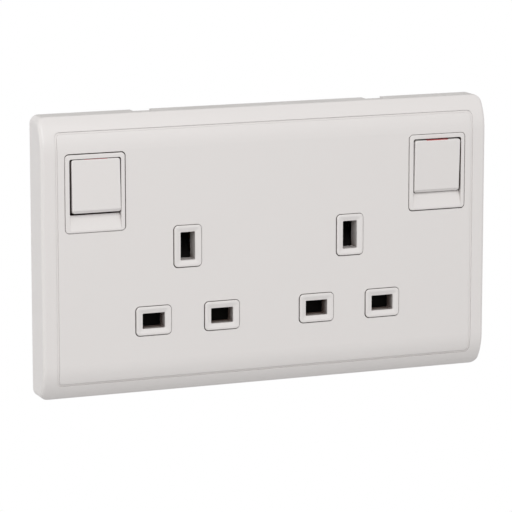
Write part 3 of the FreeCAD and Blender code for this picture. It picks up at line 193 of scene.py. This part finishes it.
# %% Lamps
def softbox(name, from_left, from_above, distance, width, level):
    """A square area lamp aimed at the socket. Level 1 lights a facing white card to full white."""
    data = bpy.data.lights.new(name, "AREA")
    data.shape = "SQUARE"
    data.size = width
    data.energy = level * math.pi ** 2 * distance ** 2
    lamp = bpy.data.objects.new(name, data)
    left = math.radians(from_left)
    above = math.radians(from_above)
    level_share = math.cos(above)
    away = Vector((-math.sin(left) * level_share, -math.cos(left) * level_share, math.sin(above)))
    lamp.location = away * distance
    lamp.rotation_euler = (-away).to_track_quat("-Z", "Y").to_euler()
    bpy.context.scene.collection.objects.link(lamp)
    return lamp


softbox("key_softbox", from_left=14, from_above=38, distance=0.95, width=0.6, level=0.49)
softbox("left_softbox", from_left=98, from_above=4, distance=1.4, width=0.9, level=0.18)
print("lamps:", [lamp.name for lamp in bpy.data.lights])

# %% [markdown]
# ## The floor
#
# The socket floats in white in the photograph. The floor here lies well below it. Near the
# middle it is a plain grey floor that takes the socket's shadow; further out it fades into the
# white of the room, so no horizon shows behind the socket. Its mesh is a single square.

# %% Floor sheet
FLOOR_DROP = 0.25
FLOOR_HALF = 6.0

floor_mesh = bpy.data.meshes.new("studio_floor")
signs = ((-1, -1), (1, -1), (1, 1), (-1, 1))
corners = [(x * FLOOR_HALF, y * FLOOR_HALF, -FLOOR_DROP) for x, y in signs]
floor_mesh.from_pydata(corners, [], [range(len(corners))])
floor = bpy.data.objects.new("studio_floor", floor_mesh)
bpy.context.scene.collection.objects.link(floor)
print("floor at", -FLOOR_DROP)

# %% [markdown]
# ## The floor's finish
#
# Grey rather than white in the middle, because the floor should throw little light up onto the
# underside. The fade goes by the distance from the point below the socket: the height is taken
# out of the position first, and the length of what is left is that distance. A round gradient
# texture would do as well, but this one is measured in metres.

# %% Floor finish
SHADOW_RADIUS = 0.28
WHITE_RADIUS = 0.55
FLOOR_GREY = (0.68, 0.68, 0.68, 1.0)
LEVEL_ONLY = (1.0, 1.0, 0.0)

floor_material = bpy.data.materials.new("pale_floor")
floor_material.use_nodes = True
tree = floor_material.node_tree
tree.nodes.clear()
place = add_node(tree, "ShaderNodeNewGeometry")
flat = add_node(tree, "ShaderNodeVectorMath")
flat.operation = "MULTIPLY"
flat.inputs[1].default_value = LEVEL_ONLY
link(tree, place, "Position", flat, 0)
reach = add_node(tree, "ShaderNodeVectorMath")
reach.operation = "LENGTH"
link(tree, flat, "Vector", reach, 0)
fade = add_node(tree, "ShaderNodeMapRange", From_Min=SHADOW_RADIUS, From_Max=WHITE_RADIUS)
fade.interpolation_type = "SMOOTHSTEP"
link(tree, reach, "Value", fade, "Value")
whiten = maths(tree, "MULTIPLY", (fade, "Result"), (seeing_rays(tree), "Value"))
card = add_node(tree, "ShaderNodeBsdfDiffuse", Color=FLOOR_GREY)
glow = add_node(tree, "ShaderNodeEmission", Color=PURE_WHITE, Strength=1.0)
blend = add_node(tree, "ShaderNodeMixShader")
floor_output = add_node(tree, "ShaderNodeOutputMaterial")
link(tree, whiten, "Value", blend, 0)
link(tree, card, "BSDF", blend, 1)
link(tree, glow, "Emission", blend, 2)
link(tree, blend, "Shader", floor_output, "Surface")
floor.data.materials.append(floor_material)
print("shadow within", SHADOW_RADIUS, "m, white beyond", WHITE_RADIUS, "m")

# %% [markdown]
# ## How moulded plastic looks
#
# A moulded face is never perfectly even: the colour drifts a little where the melt cooled, the
# gloss varies, and the surface has a faint ripple. Faces that look up get painted shade: their
# colour is mixed unevenly towards grey and their gloss is dulled, so the top edge of the socket
# is a little greyer and duller than its front. One node group makes all of it, so that the white
# cover, the grey housing and the black shutters share the effect with values of their own. Image
# textures would need unwrapping; noise in object space needs none.

# %% Moulded surface group
def group_socket(group, name, side, kind, default=None):
    socket = group.interface.new_socket(name=name, in_out=side, socket_type=kind)
    if default is not None:
        socket.default_value = default
    return socket


# Painted shade on faces that look up: their colour is mixed towards this grey.
TOP_SHADE_GREY = (0.30, 0.29, 0.27, 1.0)
TOP_SHADE_DULLS = 0.9
TOP_SHADE_STARTS = 0.86
TOP_SHADE_FULL = 0.98
NOISE_MIDDLE = 0.5
NOISE_LOW = 0.35
NOISE_HIGH = 0.65
CLOUDS_PER_METRE = 38.0
RIPPLES_PER_METRE = 160.0
GRAIN_SHARE = 0.35


def painted_top_shade(group, clouds):
    """A mask of painted shade on faces that look up, uneven like the clouds of noise."""
    facing = group.nodes.new("ShaderNodeNewGeometry")
    parts = group.nodes.new("ShaderNodeSeparateXYZ")
    link(group, facing, "Normal", parts, "Vector")
    upward = add_node(group, "ShaderNodeMapRange", From_Min=TOP_SHADE_STARTS, From_Max=TOP_SHADE_FULL)
    link(group, parts, "Z", upward, "Value")
    uneven = maths(group, "ADD", (clouds, "Fac"), NOISE_MIDDLE)
    return maths(group, "MULTIPLY", (upward, "Result"), (uneven, "Value"))


def build_moulded_group():
    group = bpy.data.node_groups.new("moulded_surface", "ShaderNodeTree")
    group_socket(group, "Base", "INPUT", "NodeSocketColor", (0.8, 0.8, 0.8, 1.0))
    group_socket(group, "Drift", "INPUT", "NodeSocketFloat", 0.03)
    group_socket(group, "Gloss Low", "INPUT", "NodeSocketFloat", 0.3)
    group_socket(group, "Gloss High", "INPUT", "NodeSocketFloat", 0.4)
    group_socket(group, "Grain Size", "INPUT", "NodeSocketFloat", 900.0)
    group_socket(group, "Top Shade", "INPUT", "NodeSocketFloat", 0.32)
    group_socket(group, "Colour", "OUTPUT", "NodeSocketColor")
    group_socket(group, "Roughness", "OUTPUT", "NodeSocketFloat")
    group_socket(group, "Height", "OUTPUT", "NodeSocketFloat")
    entry = group.nodes.new("NodeGroupInput")
    exit_node = group.nodes.new("NodeGroupOutput")
    where = group.nodes.new("ShaderNodeTexCoord")
    clouds = add_node(group, "ShaderNodeTexNoise", Scale=CLOUDS_PER_METRE, Detail=3.0, Roughness=0.5)
    ripple = add_node(group, "ShaderNodeTexNoise", Scale=RIPPLES_PER_METRE, Detail=2.0, Roughness=0.4)
    grain = add_node(group, "ShaderNodeTexNoise", Detail=2.0, Roughness=0.6)
    for noise in (clouds, ripple, grain):
        link(group, where, "Object", noise, "Vector")
    link(group, entry, "Grain Size", grain, "Scale")
    swing = maths(group, "SUBTRACT", (clouds, "Fac"), NOISE_MIDDLE)
    swing = maths(group, "MULTIPLY", (swing, "Value"), 2.0)
    shade = group.nodes.new("ShaderNodeMath")
    shade.operation = "MULTIPLY_ADD"
    shade.inputs[2].default_value = 1.0
    link(group, swing, "Value", shade, 0)
    link(group, entry, "Drift", shade, 1)
    tint = group.nodes.new("ShaderNodeVectorMath")
    tint.operation = "SCALE"
    link(group, entry, "Base", tint, 0)
    link(group, shade, "Value", tint, "Scale")
    # Painted shade: faces that look up are mixed towards grey and made duller.
    top_shade = painted_top_shade(group, clouds)
    top_shade = maths(group, "MULTIPLY", (top_shade, "Value"), (entry, "Top Shade"))
    top_shaded = mix_colours(group, (top_shade, "Value"), (tint, "Vector"), TOP_SHADE_GREY)
    group.links.new(top_shaded, exit_node.inputs["Colour"])
    gloss = add_node(group, "ShaderNodeMapRange", From_Min=NOISE_LOW, From_Max=NOISE_HIGH)
    link(group, ripple, "Fac", gloss, "Value")
    link(group, entry, "Gloss Low", gloss, "To Min")
    link(group, entry, "Gloss High", gloss, "To Max")
    dulled = maths(group, "MULTIPLY", (top_shade, "Value"), TOP_SHADE_DULLS)
    rough = maths(group, "ADD", (gloss, "Result"), (dulled, "Value"))
    link(group, rough, "Value", exit_node, "Roughness")
    fine = maths(group, "MULTIPLY", (grain, "Fac"), GRAIN_SHARE)
    height = maths(group, "ADD", (ripple, "Fac"), (fine, "Value"))
    link(group, height, "Value", exit_node, "Height")
    return group


moulded_group = build_moulded_group()
sockets = moulded_group.interface.items_tree
print("moulded group gives:", [socket.name for socket in sockets if socket.in_out == "OUTPUT"])

# %% [markdown]
# ## Painted shade in the seams
#
# The gaps round the rockers and the pin holes are black in the photograph, because the real ones
# are deep and little light finds its way out again. That shade is painted into the colour here.
# A second group finds such places: the Ambient Occlusion node measures how much of the
# surroundings a point sees, and a Map Range turns that into a mask that is 1 in the open and
# falls to 0 in a seam, where the materials mix in a dark shade colour. Painting the seams by
# hand would need a map for every piece, and the mask follows the pieces when they move.

# %% Seam group
SEAM_REACH = 8.0 * MM
SEAM_SAMPLES = 6


# Painted shade: this mask says where the materials darken the colour of deep gaps.
def build_seam_shade_group():
    group = bpy.data.node_groups.new("painted_seam_shade", "ShaderNodeTree")
    group_socket(group, "Closed", "INPUT", "NodeSocketFloat", 0.1)
    group_socket(group, "Open", "INPUT", "NodeSocketFloat", 0.4)
    group_socket(group, "Light", "OUTPUT", "NodeSocketFloat")
    entry = group.nodes.new("NodeGroupInput")
    exit_node = group.nodes.new("NodeGroupOutput")
    nearness = add_node(group, "ShaderNodeAmbientOcclusion", Distance=SEAM_REACH)
    nearness.samples = SEAM_SAMPLES
    mask = group.nodes.new("ShaderNodeMapRange")
    link(group, nearness, "AO", mask, "Value")
    link(group, entry, "Closed", mask, "From Min")
    link(group, entry, "Open", mask, "From Max")
    link(group, mask, "Result", exit_node, "Light")
    return group


seam_shade_group = build_seam_shade_group()
print("seams reach", SEAM_REACH / MM, "mm")

# %% [markdown]
# ## Moulded materials
#
# Each plastic is one material with the two groups above and values of its own. Edges of a real
# moulding are never sharp: a Bevel node rounds how they catch the light, by 0.15 mm, or more on
# the cover. Real bevels on every edge would need many more faces for the same look.

# %% Moulded materials
def srgb(red, green, blue):
    """A colour given as it looks on screen, 0 to 255, as the linear values a shader wants."""
    def line(channel):
        part = channel / 255.0
        return part / 12.92 if part <= 0.04045 else ((part + 0.055) / 1.055) ** 2.4
    return (line(red), line(green), line(blue), 1.0)


SEAM_ROUGHNESS = 0.95
CLOSED_SHARE = 0.25
RIPPLE_STRENGTH = 0.35
PLASTIC_IOR = 1.5


def moulded_material(name, colour, seam, drift, gloss, grain_size, bump_depth,
                     open_from=0.4, edge_round=0.15 * MM, shine=0.5):
    """Plastic straight from the mould: seam is the dark colour painted into deep gaps as shade, gloss
    its two roughnesses.
    """
    material = bpy.data.materials.new(name)
    material.use_nodes = True
    tree = material.node_tree
    shader = tree.nodes["Principled BSDF"]
    surface = tree.nodes.new("ShaderNodeGroup")
    surface.node_tree = moulded_group
    surface.inputs["Base"].default_value = colour
    surface.inputs["Drift"].default_value = drift
    surface.inputs["Gloss Low"].default_value = gloss[0]
    surface.inputs["Gloss High"].default_value = gloss[1]
    surface.inputs["Grain Size"].default_value = grain_size
    bump = add_node(tree, "ShaderNodeBump", Strength=RIPPLE_STRENGTH, Distance=bump_depth)
    gaps = tree.nodes.new("ShaderNodeGroup")
    gaps.node_tree = seam_shade_group
    gaps.inputs["Closed"].default_value = open_from * CLOSED_SHARE
    gaps.inputs["Open"].default_value = open_from
    # Painted shade: where the seam mask closes, the colour falls to the dark seam colour.
    shaded = mix_colours(tree, (gaps, "Light"), seam, (surface, "Colour"))
    tree.links.new(shaded, shader.inputs["Base Color"])
    dulled = add_node(tree, "ShaderNodeMapRange", To_Min=SEAM_ROUGHNESS)
    link(tree, gaps, "Light", dulled, "Value")
    link(tree, surface, "Roughness", dulled, "To Max")
    link(tree, dulled, "Result", shader, "Roughness")
    rounded = add_node(tree, "ShaderNodeBevel", Radius=edge_round)
    rounded.samples = SEAM_SAMPLES
    link(tree, rounded, "Normal", bump, "Normal")
    link(tree, surface, "Height", bump, "Height")
    link(tree, bump, "Normal", shader, "Normal")
    shader.inputs["IOR"].default_value = PLASTIC_IOR
    shader.inputs["Specular IOR Level"].default_value = shine
    return material


print("a seam is fully dark where it sees", CLOSED_SHARE, "of what counts as open")

# %% [markdown]
# ## The six plastics
#
# The white is one moulding compound, used for the cover, the frame, the inserts and the rockers,
# so its values are written once. The housing is a duller grey, the shutters are black with hardly
# any shine, and the flags are a glossier red. The colours are given as they look on screen.

# %% The six plastics
WHITE = srgb(224, 220, 218)
HOUSING_GREY = srgb(206, 204, 198)
SHUTTER_BLACK = srgb(15, 14, 13)
FLAG_RED = srgb(172, 18, 24)
# Painted seam shade: the dark colours that deep gaps take in each plastic.
SEAM_SHADE_BROWN = srgb(64, 34, 12)
SEAM_SHADE_BLACK = srgb(6, 5, 5)
SEAM_SHADE_RED = srgb(90, 8, 11)
SATIN_WHITE = dict(
    colour=WHITE, seam=SEAM_SHADE_BROWN, drift=0.006, gloss=(0.32, 0.36),
    grain_size=1400.0, bump_depth=0.004 * MM)

materials = {
    "white_moulding": moulded_material("white_moulding", **SATIN_WHITE),
    "cover_moulding": moulded_material(
        "cover_moulding", open_from=0.22, edge_round=0.25 * MM, **SATIN_WHITE),
    "insert_moulding": moulded_material("insert_moulding", open_from=0.55, **SATIN_WHITE),
    "housing_moulding": moulded_material(
        "housing_moulding", colour=HOUSING_GREY, seam=SEAM_SHADE_BROWN, drift=0.03, gloss=(0.5, 0.62),
        grain_size=700.0, bump_depth=0.06 * MM),
    "dark_moulding": moulded_material(
        "dark_moulding", colour=SHUTTER_BLACK, seam=SEAM_SHADE_BLACK, drift=0.10, gloss=(0.5, 0.65),
        grain_size=900.0, bump_depth=0.04 * MM, shine=0.06),
    "red_moulding": moulded_material(
        "red_moulding", colour=FLAG_RED, seam=SEAM_SHADE_RED, drift=0.04, gloss=(0.22, 0.30),
        grain_size=900.0, bump_depth=0.02 * MM),
}
print("moulded materials:", sorted(materials))

# %% [markdown]
# ## How the metal looks
#
# The strips are half-hard brass, stamped and folded, with a faint rolling grain along the sheet
# and duller patches where fingers touched it. The screws and springs are zinc-plated steel. Both
# share one group: stretched noise for the rolling lines and broad noise for the tarnish. Most of
# it lies behind the cover and shows only in the terminals' holes and at the back.

# %% Metal group
ROLLING_STRETCH = (60.0, 900.0, 900.0)
PATCHES_PER_METRE = 120.0
TARNISH_STARTS = 0.45
TARNISH_FULL = 0.75
TARNISH_DULLS = 0.25


def build_metal_group():
    group = bpy.data.node_groups.new("rolled_metal", "ShaderNodeTree")
    group_socket(group, "Base", "INPUT", "NodeSocketColor", (0.8, 0.7, 0.4, 1.0))
    group_socket(group, "Tarnish", "INPUT", "NodeSocketColor", (0.5, 0.4, 0.2, 1.0))
    group_socket(group, "Dullness", "INPUT", "NodeSocketFloat", 0.25)
    group_socket(group, "Colour", "OUTPUT", "NodeSocketColor")
    group_socket(group, "Roughness", "OUTPUT", "NodeSocketFloat")
    group_socket(group, "Height", "OUTPUT", "NodeSocketFloat")
    entry = group.nodes.new("NodeGroupInput")
    exit_node = group.nodes.new("NodeGroupOutput")
    where = group.nodes.new("ShaderNodeTexCoord")
    stretch = group.nodes.new("ShaderNodeMapping")
    stretch.inputs["Scale"].default_value = ROLLING_STRETCH
    lines = add_node(group, "ShaderNodeTexNoise", Scale=2.0, Detail=3.0)
    patches = add_node(group, "ShaderNodeTexNoise", Scale=PATCHES_PER_METRE, Detail=4.0, Roughness=0.6)
    link(group, where, "Object", stretch, "Vector")
    link(group, stretch, "Vector", lines, "Vector")
    link(group, where, "Object", patches, "Vector")
    mask = add_node(group, "ShaderNodeMapRange", From_Min=TARNISH_STARTS, From_Max=TARNISH_FULL)
    link(group, patches, "Fac", mask, "Value")
    patched = mix_colours(group, (mask, "Result"), (entry, "Base"), (entry, "Tarnish"))
    group.links.new(patched, exit_node.inputs["Colour"])
    rough = maths(group, "MULTIPLY", (mask, "Result"), TARNISH_DULLS)
    rough = maths(group, "ADD", (rough, "Value"), (entry, "Dullness"))
    link(group, rough, "Value", exit_node, "Roughness")
    link(group, lines, "Fac", exit_node, "Height")
    return group


metal_group = build_metal_group()
print("metal groups:", metal_group.name)

# %% [markdown]
# ## The three metals
#
# Brass, silver and zinc-plated steel differ only in colour and dullness, so one function makes
# all three. A metal's colour is all in its reflections, which is what a Metallic of 1 stands for.

# %% The three metals
ROLLING_STRENGTH = 0.3
ROLLING_DEPTH = 0.02 * MM


def metal_material(name, colour, tarnish, dullness):
    """Rolled or plated metal: tarnish is its colour in the duller patches."""
    material = bpy.data.materials.new(name)
    material.use_nodes = True
    tree = material.node_tree
    shader = tree.nodes["Principled BSDF"]
    shader.inputs["Metallic"].default_value = 1.0
    surface = tree.nodes.new("ShaderNodeGroup")
    surface.node_tree = metal_group
    surface.inputs["Base"].default_value = colour
    surface.inputs["Tarnish"].default_value = tarnish
    surface.inputs["Dullness"].default_value = dullness
    bump = add_node(tree, "ShaderNodeBump", Strength=ROLLING_STRENGTH, Distance=ROLLING_DEPTH)
    link(tree, surface, "Height", bump, "Height")
    link(tree, surface, "Colour", shader, "Base Color")
    link(tree, surface, "Roughness", shader, "Roughness")
    link(tree, bump, "Normal", shader, "Normal")
    return material


METALS = {
    "brass": (srgb(214, 178, 98), srgb(164, 124, 62), 0.24),
    "silver_rivet": (srgb(226, 226, 224), srgb(190, 188, 182), 0.2),
    "plated_steel": (srgb(196, 198, 196), srgb(150, 150, 144), 0.28),
}
for metal, (bright, tarnish, dullness) in METALS.items():
    materials[metal] = metal_material(metal, bright, tarnish, dullness)
print("metals:", sorted(METALS))

# %% [markdown]
# ## Dress the CAD pieces
#
# Each CAD piece already has a slot in the record that says what it is made of, so one loop
# dresses all of them. The cover and the two socket inserts share the slot of the other white
# pieces, but get white materials of their own, because the painted shade in their seams begins
# sooner or later than on the rest.

# %% Dress the CAD pieces
finish_of = {part["node"]: part["material_slot"] for part in frame["record"]["subparts"]}
finish_of["front_cover"] = "cover_moulding"
finish_of["left_socket_insert"] = finish_of["right_socket_insert"] = "insert_moulding"
for node, finish in finish_of.items():
    for holder in frame["nodes"][node].material_slots:
        holder.material = materials[finish]

# %% [markdown]
# ## A little play
#
# Clipped and loosely seated pieces never sit exactly in the middle of their openings, and the eye
# reads that in the gaps: here thin, there wide and black. The left rocker nearly fills its well on
# the right, the right one on the left, and the cover's windows sit about a tenth of a millimetre
# off the islands behind them. A CAD piece's own mesh stays as it is, so each of these pieces is
# a copy of it, with some points moved by a rule, which stands for the CAD piece.

# %% A copied piece
def body_of(node):
    """The body that carries a CAD piece."""
    for body, nodes in frame["record"]["behaviour"]["bodies"].items():
        if node in nodes:
            return body


def copied_piece(node, moved):
    """A copy of a CAD piece whose points go where moved(point) says."""
    source = frame["nodes"][node]
    mesh = source.data.copy()
    mesh.name = node + "_fitted"
    for vertex in mesh.vertices:
        vertex.co = moved(vertex.co.copy())
    piece = bpy.data.objects.new(node + "_fitted", mesh)
    bpy.context.scene.collection.objects.link(piece)
    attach(piece, body_of(node))
    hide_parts(node)
    return piece


print("bodies:", [(node, body_of(node)) for node in ("front_cover", "left_rocker", "right_rocker")])

# %% [markdown]
# ## Rockers that lean to one side
#
# Each rocker grows or shrinks by up to a quarter of a millimetre at each of its four sides, by the
# amounts below, and every point between moves in proportion. Moving the whole rocker would open
# the gap on its other side by as much, and the photograph doesn't show that.

# %% Rockers that lean to one side of their wells
ROCKER_GROWTH = {
    "left": {"left": -0.10 * MM, "right": 0.26 * MM, "top": 0.08 * MM, "bottom": -0.15 * MM},
    "right": {"left": 0.26 * MM, "right": -0.05 * MM, "top": 0.17 * MM, "bottom": 0.05 * MM},
}


def fit_rocker(side):
    """Stretch a rocker a little towards the wall of its well that it lies against."""
    low, high = (Vector(corner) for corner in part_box(side + "_rocker"))
    growth = ROCKER_GROWTH[side]

    def moved(point):
        across = (point.x - low.x) / (high.x - low.x)
        up = (point.z - low.z) / (high.z - low.z)
        point.x += across * growth["right"] - (1.0 - across) * growth["left"]
        point.z += up * growth["top"] - (1.0 - up) * growth["bottom"]
        return point

    return copied_piece(side + "_rocker", moved)


for rocker_side in ("left", "right"):
    print("rocker", rocker_side, [round(v, 5) for v in fit_rocker(rocker_side).dimensions])

# %% [markdown]
# ## The groove round the panel
#
# The groove reads as a soft line in the photograph, lit right down to its floor, so the copy of
# the cover has a shallower groove than the CAD one. The floor is found from the shape of the
# face, which is flat in the middle and curves back along an arc at the top and the bottom. A new
# ring of mesh would leave a seam in the face; moving the floor's own points outwards keeps the
# cover in one piece.

# %% Groove
PLATE_HALF = (73.0 * MM, 43.0 * MM)
FACE_OUT = 10.6 * MM
ARCH_START = 32.5 * MM
ARCH_RADIUS = 15.0 * MM
GROOVE_BORDER = 4.45 * MM
GROOVE_BAND = (-1.0 * MM, 0.05 * MM)
GROOVE_FLOOR = (0.3 * MM, 0.6 * MM)
GROOVE_LIFT = 0.18 * MM


def on_groove_floor(point):
    """Whether a point of the cover lies on the floor of the groove round the panel."""
    across = abs(point.x) - PLATE_HALF[0] + GROOVE_BORDER
    up = abs(point.z) - PLATE_HALF[1] + GROOVE_BORDER
    past = max(0.0, abs(point.z) - ARCH_START)
    face = ARCH_RADIUS - FACE_OUT - math.sqrt(ARCH_RADIUS ** 2 - past ** 2)
    in_band = GROOVE_BAND[0] < max(across, up) < GROOVE_BAND[1]
    return in_band and GROOVE_FLOOR[0] < point.y - face < GROOVE_FLOOR[1]


cad_points = frame["nodes"]["front_cover"].data.vertices
print("points on the groove's floor:", sum(on_groove_floor(point.co) for point in cad_points))

# %% [markdown]
# ## Cover windows a little off their islands
#
# The moulded frame and the socket inserts stand through eight windows of the cover. The points
# on a window's edge all shift by the same small step, so the window keeps its size and its
# rounded corners. Each entry below is a window's middle, its size and its step.

# %% Cover windows a little off their islands
SWITCH_PLACE = 56.2 * MM
SWITCH_HEIGHT = 20.0 * MM
SWITCH_WINDOW = (19.25 * MM, 24.0 * MM)
SOCKET_PLACE = 26.75 * MM
EARTH_WINDOW = (9.2 * MM, 13.15 * MM)
FLAT_WINDOW = (11.7 * MM, 9.25 * MM)
EARTH_HEIGHT = 2.0 * MM
FLAT_HEIGHT = -20.2 * MM
FLAT_SPREAD = 11.1 * MM
EDGE_BAND = 0.5 * MM
CORNER_BAND = 1.5 * MM

windows = [
    (-SWITCH_PLACE, SWITCH_HEIGHT, SWITCH_WINDOW, (0.08 * MM, 0.08 * MM)),
    (SWITCH_PLACE, SWITCH_HEIGHT, SWITCH_WINDOW, (0.03 * MM, -0.09 * MM)),
]
for middle in (-SOCKET_PLACE, SOCKET_PLACE):
    windows.append((middle, EARTH_HEIGHT, EARTH_WINDOW, (-0.06 * MM, -0.05 * MM)))
    for offset in (-FLAT_SPREAD, FLAT_SPREAD):
        windows.append((middle + offset, FLAT_HEIGHT, FLAT_WINDOW, (-0.06 * MM, -0.03 * MM)))


def on_window_edge(point, centre_x, centre_z, size):
    """Whether a point of the cover lies on the edge of one of its windows."""
    across = abs(point.x - centre_x) - size[0] / 2
    up = abs(point.z - centre_z) - size[1] / 2
    return max(across, up) < EDGE_BAND and min(abs(across), abs(up)) < CORNER_BAND


def fitted_cover(point):
    """Where a point of the cover goes: outwards on the groove's floor, sideways at a window."""
    if on_groove_floor(point):
        point.y -= GROOVE_LIFT
        return point
    for centre_x, centre_z, size, shift in windows:
        if on_window_edge(point, centre_x, centre_z, size):
            point.x += shift[0]
            point.z += shift[1]
            return point
    return point


cover = copied_piece("front_cover", fitted_cover)
moved_points = sum(new.co != old.co for new, old in zip(cover.data.vertices, cad_points))
print("cover points:", len(cad_points), "moved:", moved_points)

# %% [markdown]
# ## The red flags
#
# Each rocker carries a red strip in its top edge, which shows when its switch is on. On the real
# switch it is a second shot of plastic that runs back along the top of the rocker, so from the
# front a deep strip shows above the rocker that is on and only a thin line above the other. The
# CAD strip is short. This one is a bar with rounded edges, a little higher at its back, drawn in
# the rocker's level position and tilted with it about the pivot, so it lies in the rocker's top
# at every pose.

# %% Red flags
FLAG_WIDTH = 7.38 * MM
FLAG_DEPTH = 2.6 * MM
FLAG_SUNK = 0.45 * MM
FLAG_STAND = {"left": 0.05 * MM, "right": 0.07 * MM}
FLAG_RISE = {"left": 0.0, "right": 0.1 * MM}
FLAG_ROUND = 0.12 * MM
ROUND_STEPS = 3
ROCKER_TOP = 8.1 * MM
FLAG_FRONT = -3.82 * MM
PIVOT_OUT = 7.5 * MM
FLAG_INWARD = {"left": 0.3 * MM, "right": -0.3 * MM}
TILT = {"left": math.radians(-2.5), "right": math.radians(2.5)}


def pivot_height(side):
    """Height of a rocker's pivot, from the joint that carries it."""
    for joint in frame["record"]["behaviour"]["joints"]:
        if joint["name"] == side + "_rocker_tilt":
            return joint["pos_m"][2]


def make_flag(side):
    """A red strip in the top of a rocker."""
    left_end, right_end = (corner[0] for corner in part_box(side + "_rocker"))
    pivot = Vector(((left_end + right_end) / 2, -PIVOT_OUT, pivot_height(side)))
    form = bmesh.new()
    bmesh.ops.create_cube(form, size=1.0)
    size = Vector((FLAG_WIDTH, FLAG_DEPTH, FLAG_SUNK + FLAG_STAND[side]))
    top = ROCKER_TOP + ROCKER_GROWTH[side]["top"]
    height = top + (FLAG_STAND[side] - FLAG_SUNK) / 2
    centre = Vector((FLAG_INWARD[side], FLAG_FRONT + FLAG_DEPTH / 2, height))
    for point in form.verts:
        at_back_of_top = point.co.y > 0 and point.co.z > 0
        point.co = Vector(a * b for a, b in zip(point.co, size)) + centre
        if at_back_of_top:
            point.co.z += FLAG_RISE[side]
    bmesh.ops.bevel(
        form, geom=form.edges[:], offset=FLAG_ROUND, segments=ROUND_STEPS, affect="EDGES", profile=0.5)
    turn = Matrix.Translation(pivot) @ Matrix.Rotation(TILT[side], 4, "X")
    bmesh.ops.transform(form, matrix=turn, verts=form.verts)
    mesh = bpy.data.meshes.new(side + "_flag_strip")
    form.to_mesh(mesh)
    form.free()
    mesh.shade_smooth()
    mesh.materials.append(materials["red_moulding"])
    strip = bpy.data.objects.new(side + "_flag_strip", mesh)
    bpy.context.scene.collection.objects.link(strip)
    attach(strip, side + "_rocker")
    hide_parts(side + "_on_flag")
    return strip


for flag_side in ("left", "right"):
    print("flag", flag_side, [round(v, 4) for v in make_flag(flag_side).dimensions])
